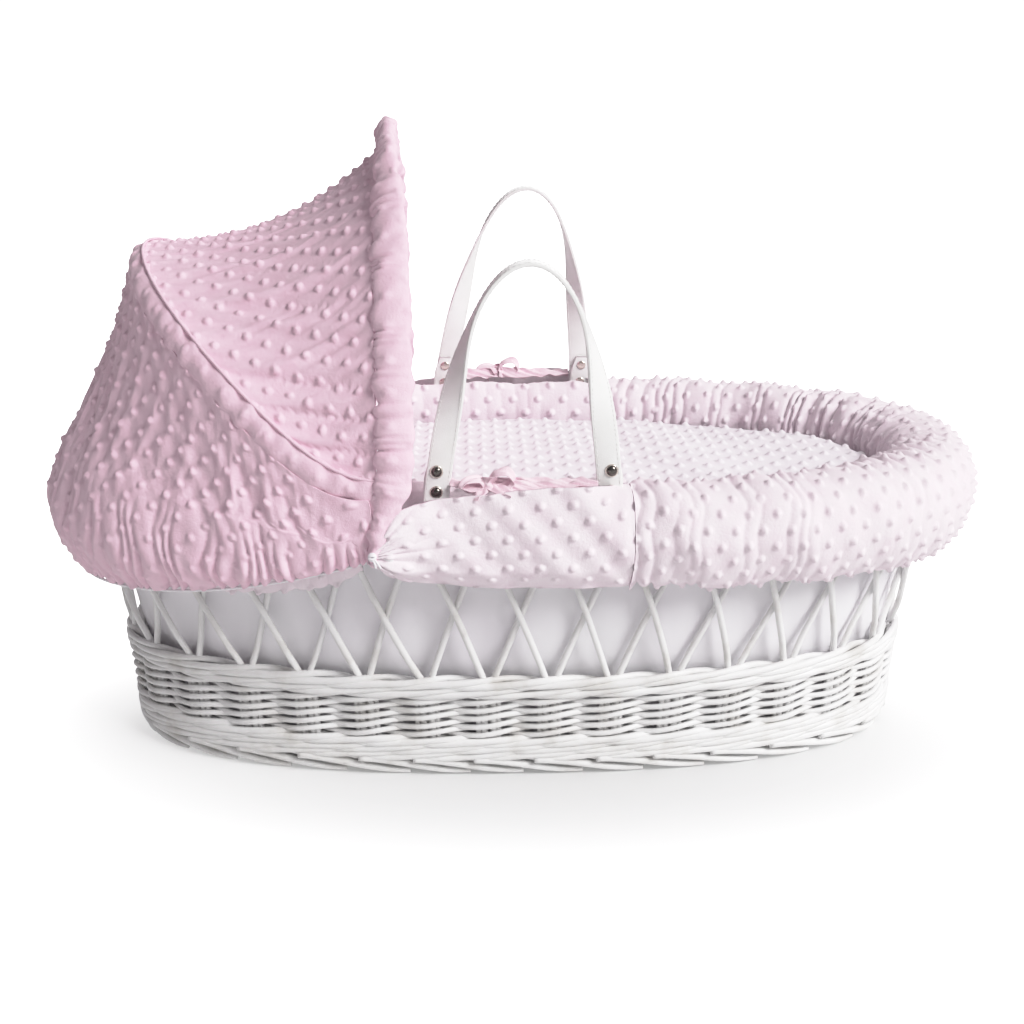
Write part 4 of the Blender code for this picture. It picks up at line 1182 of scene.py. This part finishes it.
def front_casing():
    """The front hoop's rucked sleeve, over its pivots too."""
    angle = np.radians(np.linspace(-1.6, 181.6, 660))
    height = FRONT_LENGTH * np.sin(angle)
    path = hoop_points(angle, "front")
    back = along_inward(angle, "front")
    drawn = smooth((0.078 - height) / 0.080)
    front = SLEEVE_FRONT - 0.0065 * smooth((np.sin(angle) - 0.80) / 0.20) - 0.0220 * drawn
    reach = SLEEVE_REACH + 0.0030 * drawn
    half = (reach + front) / 2
    path = path + back * ((reach - front) / 2)[:, None]
    thick = 0.0078 + 0.0050 * smooth((0.035 - height) / 0.035)
    end = np.sqrt(np.clip((height + 0.0095) / 0.010, 0.05, 1))
    half, thick = half * end, thick * end
    node = "front_casing"
    sleeve("casing_front", path, back, half, thick, "front_bow", node, 101, RUCK_FRONT)


def middle_casing():
    """The flat cloth band over the middle hoop."""
    angle = np.radians(np.linspace(REAR_END - 1, 181 - REAR_END, 600))
    path = mid_band(angle, 0.001, 0.0015)
    back = np.broadcast_to(hoop_across(MID_LEAN), path.shape)
    half, thick = np.full(len(angle), 0.0120), np.full(len(angle), 0.0062)
    sleeve("casing_mid", path, back, half, thick, "mid_bow", "mid_piping", 111, RUCK_MID)


def piping():
    """A thin cord along the front of the middle band."""
    angle = np.radians(np.linspace(ROOF_END - 1, 181 - ROOF_END, 300))
    cord = Bundle()
    cord.rod(mid_band(angle, 0.0052, -0.0100), CORD_R, hoop_across(MID_LEAN))
    cord.build("piping_cord", SHADED_PINK, "mid_bow")


def hem_cord():
    """The elastic drawn through the hood's hem."""
    path, _ = hem_line(np.linspace(0, 1, 300), -0.002)
    cord = Bundle()
    cord.rod(path, CORD_R)
    cord.build("hem_cord", COTTON, "basket", "hem_elastic")


def hood():
    hood_roof()
    hood_rear()
    front_casing()
    middle_casing()
    piping()
    hem_cord()


# ---------------------------------------------------------------- handles
STRAP_W, STRAP_T, STRAP_LAYER, STRAP_CORNER = 0.022, 0.0034, 0.0023, 0.0009
LOOP_R, LOOP_OPENING = 0.0130, math.radians(62)
TAB_LOW, TAB_TOP = 0.0195, 0.054
HANDLE_HALF, HANDLE_X = 0.0754, 0.001
ARCH_TAPER, ARCH_LEAN = 0.07, {"near": 0.006, "far": 0.018}
HANDLE_Y = float(np.abs(wall(turn_at_x(HANDLE_HALF, "near"), RIM_Z)[1]))
STITCH_PITCH, STITCH, STITCH_R, STITCH_INSET = 0.0042, 0.0031, 0.00038, 0.0022
RIVET_R, RIVET_RING_R, RIVET_RING = 0.0047, 0.0050, 0.0008
RIVET_FACES = {"dome": (1, 0.0030, DARK_NICKEL), "cap": (-1, 0.0011, BRIGHT_NICKEL)}


def loop_and_tab():
    """One end of a strap, middle line and faces: the tab outside, then round the rim."""
    tab = [(-HANDLE_HALF, -STRAP_LAYER, up) for up in np.linspace(TAB_TOP, TAB_LOW, 14)]
    tab_face = [(0.0, -1.0, 0.0)] * len(tab)
    turn = np.pi - LOOP_OPENING + (np.pi + 2 * LOOP_OPENING) * np.linspace(0, 1, 40)
    loop_face = np.stack([np.zeros(40), np.cos(turn), np.sin(turn)], axis=1)
    loop = loop_face * LOOP_R + (-HANDLE_HALF, 0.0, 0.0)
    return np.vstack([tab, loop]), np.vstack([tab_face, loop_face])


def strap_line(side):
    """The strap's middle line and face direction: tab, loop round the rim, arch, loop, tab."""
    sign = SIDES[side]
    rise = high(f"strap_{side}")[2] - STRAP_T / 2 - RIM_Z
    leg, leg_face = loop_and_tab()
    angle = np.linspace(0, math.pi, 150)
    x = -HANDLE_HALF * np.cos(angle) * (1 - ARCH_TAPER * np.sin(np.pi * np.sin(angle)))
    up = TAB_LOW + (rise - TAB_LOW) * np.sin(angle)
    arch = np.stack([x, np.full(150, STRAP_LAYER), up], axis=1)
    along = unit(np.gradient(arch, axis=0))
    twist = np.pi / 2 * smooth((np.sin(angle) - 0.17) / 0.70)
    inwards = np.sin(twist)
    face = np.stack([-along[:, 2] * inwards, np.cos(twist), along[:, 0] * inwards], axis=1)
    mirror = np.array((-1.0, 1.0, 1.0))
    points = np.vstack([leg, arch, leg[::-1] * mirror])
    faces = np.vstack([leg_face, face, leg_face[::-1] * mirror])
    lean = ARCH_LEAN[side] * np.maximum(0, points[:, 2]) / rise
    x, y = HANDLE_X + points[:, 0] + lean, sign * (HANDLE_Y + points[:, 1])
    placed = np.stack([x, y, RIM_Z + points[:, 2]], axis=1)
    return placed, unit(faces * np.array((1.0, sign, 1.0)))


def strap_section(steps=3):
    """The strap's flat section with rounded edges."""
    middle_w, middle_t = STRAP_W / 2 - STRAP_CORNER, STRAP_T / 2 - STRAP_CORNER
    section = []
    for sx, sy, start in ((1, 1, 0), (-1, 1, 90), (-1, -1, 180), (1, -1, 270)):
        for k in range(steps + 1):
            turn = math.radians(start + 90 * k / steps)
            x, y = STRAP_CORNER * math.cos(turn), STRAP_CORNER * math.sin(turn)
            section.append((sx * middle_w + x, sy * middle_t + y))
    return np.roll(np.array(section), -2, axis=0)


def strap(side):
    """A handle's leather strap, smoothed where loop and arch meet, with rounded tips."""
    path, face = strap_line(side)
    kernel = np.ones(5) / 5
    inner = np.stack([np.convolve(path[:, k], kernel, "same") for k in range(3)], axis=1)
    path[3:-3] = inner[3:-3]
    along = unit(np.gradient(path, axis=0))
    width = unit(np.cross(along, face))
    face = np.cross(width, along)
    section = strap_section()
    tip = 8
    end = np.ones(len(path))
    end[:tip] = np.sqrt(np.linspace(0.25, 1, tip))
    end[-tip:] = end[:tip][::-1]
    rings = (
        path[:, None]
        + width[:, None] * (section[None, :, 0] * end[:, None])[..., None]
        + face[:, None] * section[None, :, 1, None]
    )
    length = path_lengths(path)
    u = np.repeat(length[:, None], len(section), axis=1)
    v = np.broadcast_to(section[None, :, 0], u.shape)
    name, node = f"strap_body_{side}", f"strap_{side}"
    tube(name, rings, path, (u, v), LEATHER, f"handle_{side}", node)
    stitches(side, path, along, width, face, length)


def stitches(side, path, along, width, face, length):
    """Saddle stitches sunk along both edges, on both faces."""
    bundle = Bundle()
    onward = np.linspace(-0.5, 0.5, 5)[:, None] * STITCH
    sunk = 0.0005 * np.linspace(-1, 1, 5)[:, None] ** 4
    for place in np.arange(0.012, length[-1] - 0.012, STITCH_PITCH):
        k = int(np.searchsorted(length, place))
        for edge in (-1, 1):
            for layer in (-1, 1):
                middle = path[k] + width[k] * edge * (STRAP_W / 2 - STITCH_INSET)
                middle = middle + face[k] * layer * (STRAP_T / 2 + 0.00005)
                points = middle + along[k] * onward - face[k] * layer * sunk
                bundle.rod(points, STITCH_R, face[k], sides=6)
    bundle.build(f"stitches_{side}", THREAD, f"handle_{side}")


def lathe_grid(profile, start, axis, count=28):
    """Rings of (radius, height) points turned round an axis square to x."""
    side = np.array((1.0, 0.0, 0.0))
    up = np.cross(axis, side)
    turn = 2 * np.pi * np.arange(count) / count
    ring = side * np.cos(turn)[:, None] + up * np.sin(turn)[:, None]
    radius, height = np.array(profile).T[:, :, None, None]
    return start + axis * height + ring[None] * radius


def rivet_face(part, side, name, middle, level):
    """A rivet's dome outside or its flat cap inside, from `level` off the strap's middle."""
    direction, bulge, finish = RIVET_FACES[part]
    axis = np.array((0.0, SIDES[side] * direction, 0.0))
    foot = level + 0.0006
    profile = [(0.0017, level - 0.002), (0.0040, level)]
    for angle in np.radians(np.linspace(0, 90, 12))[:-1]:
        profile.append((RIVET_R * math.cos(angle), foot + bulge * math.sin(angle)))
    profile.append((0.0002, foot + bulge))
    rings = lathe_grid(profile, middle, axis)
    uv = (rings[..., 0], rings[..., 2])
    if axis[1] > 0:
        rings = rings[:, ::-1]
    nodes = (f"rivet_{side}_{name}",) if part == "dome" else ()
    loft(f"rivet_{part}_{side}_{name}", rings, uv, finish, f"handle_{side}", *nodes)


def rivets(side):
    """Each rivet: a dark dome in a bright rim outside, a coppery flat cap inside."""
    level = STRAP_LAYER + STRAP_T / 2 + 0.0001
    turn = 2 * np.pi * np.arange(30) / 30
    circle = np.stack([np.cos(turn), 0 * turn, np.sin(turn)], axis=1) * RIVET_RING_R
    for name in ("head_low", "head_high", "foot_low", "foot_high"):
        node = f"rivet_{side}_{name}"
        middle = (np.array(low(node)) + np.array(high(node))) / 2
        middle[1] = SIDES[side] * HANDLE_Y
        for part in RIVET_FACES:
            rivet_face(part, side, name, middle, level)
        ring = Bundle()
        seat = middle + (0, SIDES[side] * (level + 0.0005), 0)
        ring.rod(seat + circle, RIVET_RING, (0, 1, 0), closed=True)
        ring.build(f"rivet_rim_{side}_{name}", BRIGHT_NICKEL, f"handle_{side}")


def handles():
    for side in SIDES:
        strap(side)
        rivets(side)


# ---------------------------------------------------------------- ribbons and cords
CORD_X, ELASTIC_R = -0.1265, 0.0011
BOW_X = {"near": -0.029, "far": -0.012}
BOW_WIDTH, BOW_ACROSS = 0.0115, (0.15, 1, 0.35)
BOW_KNOT = (
    (-0.0055, 0, 0.001),
    (-0.002, 0.0055, 0.002),
    (0.003, 0.0055, 0.002),
    (0.0055, 0, 0.001),
)
BOW_PARTS = {
    "loop_a": (
        (0, 0, 0),
        (0.006, 0.003, 0.009),
        (0.016, 0.003, 0.011),
        (0.021, 0.002, 0.004),
        (0.012, 0.003, -0.001),
        (0, 0, 0),
    ),
    "loop_b": (
        (0, 0, 0),
        (-0.008, 0.003, 0.006),
        (-0.019, 0.005, 0.006),
        (-0.024, 0.005, 0.000),
        (-0.012, 0.004, -0.002),
        (0, 0, 0),
    ),
    "tail_a": ((0, 0, 0), (0.007, 0.008, -0.002), (0.016, 0.012, -0.004), (0.021, 0.014, -0.006)),
    "tail_b": (
        (0, 0, 0),
        (-0.006, 0.008, -0.003),
        (-0.010, 0.013, -0.006),
        (-0.012, 0.016, -0.010),
    ),
}


def ribbon(name, path, across_dir, width, seed, *nodes):
    """A narrow band of cloth along a path, slightly rumpled."""
    rows, columns = 90, 14
    path = curve(path, rows)
    length = path_lengths(path)
    along = unit(np.gradient(path, axis=0))
    across_dir = unit(curve(across_dir, rows))
    across_dir = unit(across_dir - along * np.sum(across_dir * along, axis=1, keepdims=True))
    face = np.cross(along, across_dir)
    across = np.linspace(-0.5, 0.5, columns)[None, :]
    squeeze = (1 + 0.12 * waves(length, seed, (0.02, 0.04), (0.6, 0.6)))[:, None]
    bend = 0.0016 * waves(length[:, None] + across * 0.03, seed + 1, (0.018, 0.03), (0.6, 0.6))
    bend = bend + 0.0016 * across**2 * 4
    spread = across_dir[:, None] * (across * squeeze)[..., None] * width
    front = path[:, None] + spread + face[:, None] * bend[..., None]
    back = front - face[:, None] * 0.0006
    u = np.repeat(length[:, None], columns, axis=1)
    v = np.broadcast_to(across * width, u.shape)
    shell(name, front, back, (u, v), SATIN, "basket", *nodes)


def bow(side):
    """Ribbons from both handle legs, tied in a bow in the middle of the flap's top edge."""
    sign, node = SIDES[side], f"ribbon_{side}"
    y = (low(node)[1] + high(node)[1]) / 2
    z = low(node)[2] + 0.001
    head, foot = -0.062, 0.066
    knot = np.array((BOW_X[side], y + 0.003 * sign, z + 0.002))
    flat, tall = (0, 1, 0.3), (0, 0.3, 1)
    path = [(head, y, z + 0.002), (head + 0.018, y, z), tuple(knot)]
    ribbon(f"tie_head_{side}", path, [flat, flat, tall], 0.013, 201, node)
    path = [tuple(knot), (0.012, y, z + 0.001), (foot, y, z + 0.001)]
    ribbon(f"tie_foot_{side}", path, [tall, flat, flat], 0.012, 203)
    path = [tuple(knot), (0.015, y + 0.003 * sign, z - 0.001), (foot, y + 0.004 * sign, z - 0.001)]
    ribbon(f"tie_foot_low_{side}", path, [tall, flat, flat], 0.010, 204)
    for k, (part, places) in enumerate(BOW_PARTS.items()):
        path = [knot + np.array((dx, dy * sign, dz)) for dx, dy, dz in places]
        ribbon(f"{part}_{side}", path, [BOW_ACROSS] * len(path), BOW_WIDTH, 210 + k)
    path = [knot + np.array((dx, dy * sign, dz)) for dx, dy, dz in BOW_KNOT]
    ribbon(f"bow_knot_{side}", path, [(0, 0.2, 1)] * 4, 0.012, 221)


def tie_cord(side):
    """White elastic drawn round the pinched cloth, with a small knot and two tails."""
    sign = SIDES[side]
    middle = wall(turn_at_x(CORD_X, side), RIM_Z)
    bundle = Bundle()
    turn = 2 * np.pi * np.arange(40) / 40
    for shift, reach in ((0.0, 0.0245), (0.0028, 0.0252)):
        y = middle[1] + sign * np.cos(turn) * reach
        z = RIM_Z - 0.016 + np.sin(turn) * 0.0150
        x = middle[0] + shift + 0.0012 * np.sin(2 * turn)
        bundle.rod(np.stack([x, y, z], axis=1), ELASTIC_R, (1, 0, 0), closed=True)
    knot = np.array((middle[0] - 0.001, sign * (FRONT_HALF_WIDTH + 0.0140), RIM_Z - 0.018))
    angle = np.linspace(0, 2 * np.pi, 24, endpoint=False)
    for k in range(3):
        lean = k * 1.05
        y = np.sin(angle) * 0.0022 * np.sin(lean)
        z = np.sin(angle) * 0.0030 * np.cos(lean) + 0.0002 * k
        ring = np.stack([np.cos(angle) * 0.0026, y, z], axis=1)
        bundle.rod(knot + ring, 0.0012, (0.3, 0.5, 0.8), closed=True)
    for reach in (0.003, 0.007):
        halfway = knot + (reach * 0.5, sign * 0.0010, -0.004)
        tail = curve([tuple(knot), tuple(halfway), tuple(knot + (reach, 0, -0.010))], 20)
        bundle.rod(tail, 0.0010, (0, 1, 0))
    bundle.build(f"elastic_{side}", COTTON, "basket", f"tie_cord_{side}")


# ---------------------------------------------------------------- carried-over pieces
def carried_over():
    """Hard CAD pieces keep their shape and get their finish."""
    steel = Nodes("coated_wire")
    steel.set(Base_Color=(0.82, 0.82, 0.83, 1.0), Roughness=0.35)
    steel.bump((steel.noise(steel.place(), 900.0), 0.1, 0.0003))
    finishes = {"front_hoop": steel.material, "mid_hoop": steel.material}
    for side in SIDES:
        finishes[f"pivot_bracket_{side}"] = PLASTIC
        finishes[f"hoop_cap_{side}"] = PLASTIC
    for node, surface in finishes.items():
        for slot in frame["nodes"][node].material_slots:
            slot.material = surface


# ---------------------------------------------------------------- stage
ROOM_AT_HEAD, ROOM_AT_FOOT = (0.105, 0.088, 0.097), (0.49, 0.48, 0.49)
FLOOR_SHADE, FLOOR_BOUNCE = 0.66, 0.20
# Painted shadow: the floor's glow is least under the basket and grows to white away from it.
FLOOR_GLOW_IN_PAINTED_SHADOW, FLOOR_GLOW_EDGE = 0.110, 0.66
WHITE_AT = 1.25
SHOULDER = ((0.32, 0.40), (0.64, 0.80), (0.82, 0.92))
# Where the painted shadow on the floor is centred, and its reach along x and y.
PAINTED_SHADOW_PLACE, PAINTED_SHADOW_SIZE = (0.03, -0.05), (0.44, 0.25)
KEY_FROM, KEY_POWER, KEY_SOFTNESS = (1.6, -1.3, 1.6), 2.68, math.radians(28)
BACK_FROM, BACK_AT, BACK_SIZE, BACK_POWER = (0.3, 2.0, 1.3), (0, 0, 0.3), (1.8, 1.4), 18
FLOOR_HALF, FLOOR_GLOW_MOST, ROOM_SEEN = 30, 1.6, 1.3
CAMERA_PLACE, CAMERA_LENS = (-0.0447, -1.5685, 0.7097), 57.58
CAMERA_DIP, CAMERA_TURN = 0.3058, -0.0269


def lamp(name, kind, place, target, power):
    """A light that looks from its place at a target."""
    data = bpy.data.lights.new(name, kind)
    data.energy = power
    light = bpy.data.objects.new(name, data)
    light.location = place
    light.rotation_euler = (Vector(target) - Vector(place)).to_track_quat("-Z", "Y").to_euler()
    bpy.context.scene.collection.objects.link(light)
    return data


def lights():
    """A soft sun from the foot end's near side, and a panel behind for the far edges."""
    key = lamp("key", "SUN", KEY_FROM, (0, 0, 0), KEY_POWER)
    key.angle = KEY_SOFTNESS
    back = lamp("back", "AREA", BACK_FROM, BACK_AT, BACK_POWER)
    back.shape = "RECTANGLE"
    back.size, back.size_y = BACK_SIZE


def floor_glow_with_painted_shadow(n):
    """The floor as the camera sees it: a painted shadow darkens it round and under the basket;
    white further out.
    """
    places = {0: n.place(), 1: (*PAINTED_SHADOW_PLACE, 0.0)}
    middle = n.add("ShaderNodeVectorMath", places, operation="SUBTRACT")
    shadow_scaled = n.scaled(middle.outputs["Vector"], 1 / PAINTED_SHADOW_SIZE[0], 1 / PAINTED_SHADOW_SIZE[1])
    away = n.add("ShaderNodeVectorMath", {0: shadow_scaled}, operation="LENGTH").outputs["Value"]
    cubed = n.add("ShaderNodeMath", {0: away, 1: 3.0}, operation="POWER").outputs[0]
    grown = {"Value": cubed, "To Min": FLOOR_GLOW_IN_PAINTED_SHADOW, "To Max": FLOOR_GLOW_EDGE}
    lit = n.add("ShaderNodeMapRange", grown, clamp=False).outputs[0]
    return n.add("ShaderNodeMath", {0: lit, 1: FLOOR_GLOW_MOST}, operation="MINIMUM").outputs[0]


def stage():
    """A white paper floor with a painted shadow round the basket, in a white room, lit from the
    foot end.
    """
    mesh = bpy.data.meshes.new("floor")
    corners = [(-FLOOR_HALF, -FLOOR_HALF, 0), (FLOOR_HALF, -FLOOR_HALF, 0)]
    corners += [(FLOOR_HALF, FLOOR_HALF, 0), (-FLOOR_HALF, FLOOR_HALF, 0)]
    mesh.from_pydata(corners, [], [(0, 1, 2, 3)])
    floor = bpy.data.objects.new("floor", mesh)
    bpy.context.scene.collection.objects.link(floor)
    n = Nodes("paper")
    shade = (FLOOR_SHADE, FLOOR_SHADE, FLOOR_SHADE, 1)
    n.set(Base_Color=shade, Roughness=1.0, Specular_IOR_Level=0.0)
    # The camera sees the glow with its painted shadow; other rays see an even glow.
    seen = n.add("ShaderNodeLightPath").outputs["Is Camera Ray"]
    shown = {"Value": seen, "To Min": FLOOR_BOUNCE, "To Max": floor_glow_with_painted_shadow(n)}
    glow = n.add("ShaderNodeMapRange", shown).outputs[0]
    n.set(Emission_Color=(1.0, 1.0, 1.0, 1.0), Emission_Strength=glow)
    mesh.materials.append(n.material)
    white_room()
    lights()
    film()


def film():
    """Even tones, with a soft shoulder that keeps bright cloth below pure white."""
    view = bpy.context.scene.view_settings
    view.view_transform = "Standard"
    view.use_curve_mapping = True
    view.curve_mapping.white_level = (WHITE_AT, WHITE_AT, WHITE_AT)
    for light, shown in SHOULDER:
        view.curve_mapping.curves[3].points.new(light, shown)
    view.curve_mapping.update()


def white_room():
    """Light from all round, weaker from the head end; the camera sees pure white."""
    world = bpy.data.worlds.new("white")
    world.use_nodes = True
    tree = world.node_tree
    way = tree.nodes.new("ShaderNodeSeparateXYZ")
    tree.links.new(tree.nodes.new("ShaderNodeTexCoord").outputs["Generated"], way.inputs[0])
    share = tree.nodes.new("ShaderNodeMapRange")
    share.inputs["From Min"].default_value = -1.0
    tree.links.new(way.outputs["X"], share.inputs["Value"])
    room = tree.nodes.new("ShaderNodeMix")
    room.data_type = "RGBA"
    room.inputs["A"].default_value = (*ROOM_AT_HEAD, 1.0)
    room.inputs["B"].default_value = (*ROOM_AT_FOOT, 1.0)
    tree.links.new(share.outputs[0], room.inputs["Factor"])
    colour = tree.nodes.new("ShaderNodeMix")
    colour.data_type = "RGBA"
    colour.inputs["B"].default_value = (ROOM_SEEN, ROOM_SEEN, ROOM_SEEN, 1.0)
    tree.links.new(room.outputs["Result"], colour.inputs["A"])
    seen = tree.nodes.new("ShaderNodeLightPath").outputs["Is Camera Ray"]
    tree.links.new(seen, colour.inputs["Factor"])
    tree.links.new(colour.outputs["Result"], tree.nodes["Background"].inputs["Color"])
    bpy.context.scene.world = world


def camera():
    data = bpy.data.cameras.new("camera")
    data.sensor_width = 36.0
    data.lens = CAMERA_LENS
    eye = bpy.data.objects.new("camera", data)
    eye.location = CAMERA_PLACE
    eye.rotation_euler = (math.pi / 2 - CAMERA_DIP, 0, CAMERA_TURN)
    bpy.context.scene.collection.objects.link(eye)
    bpy.context.scene.camera = eye


def build():
    willow()
    lining()
    padding()
    for side in SIDES:
        flap(side)
        inner_padding(side)
        bow(side)
        tie_cord(side)
    coverlet()
    coverlet_sides()
    mattress()
    hood()
    handles()
    carried_over()
    stage()
    camera()


build()
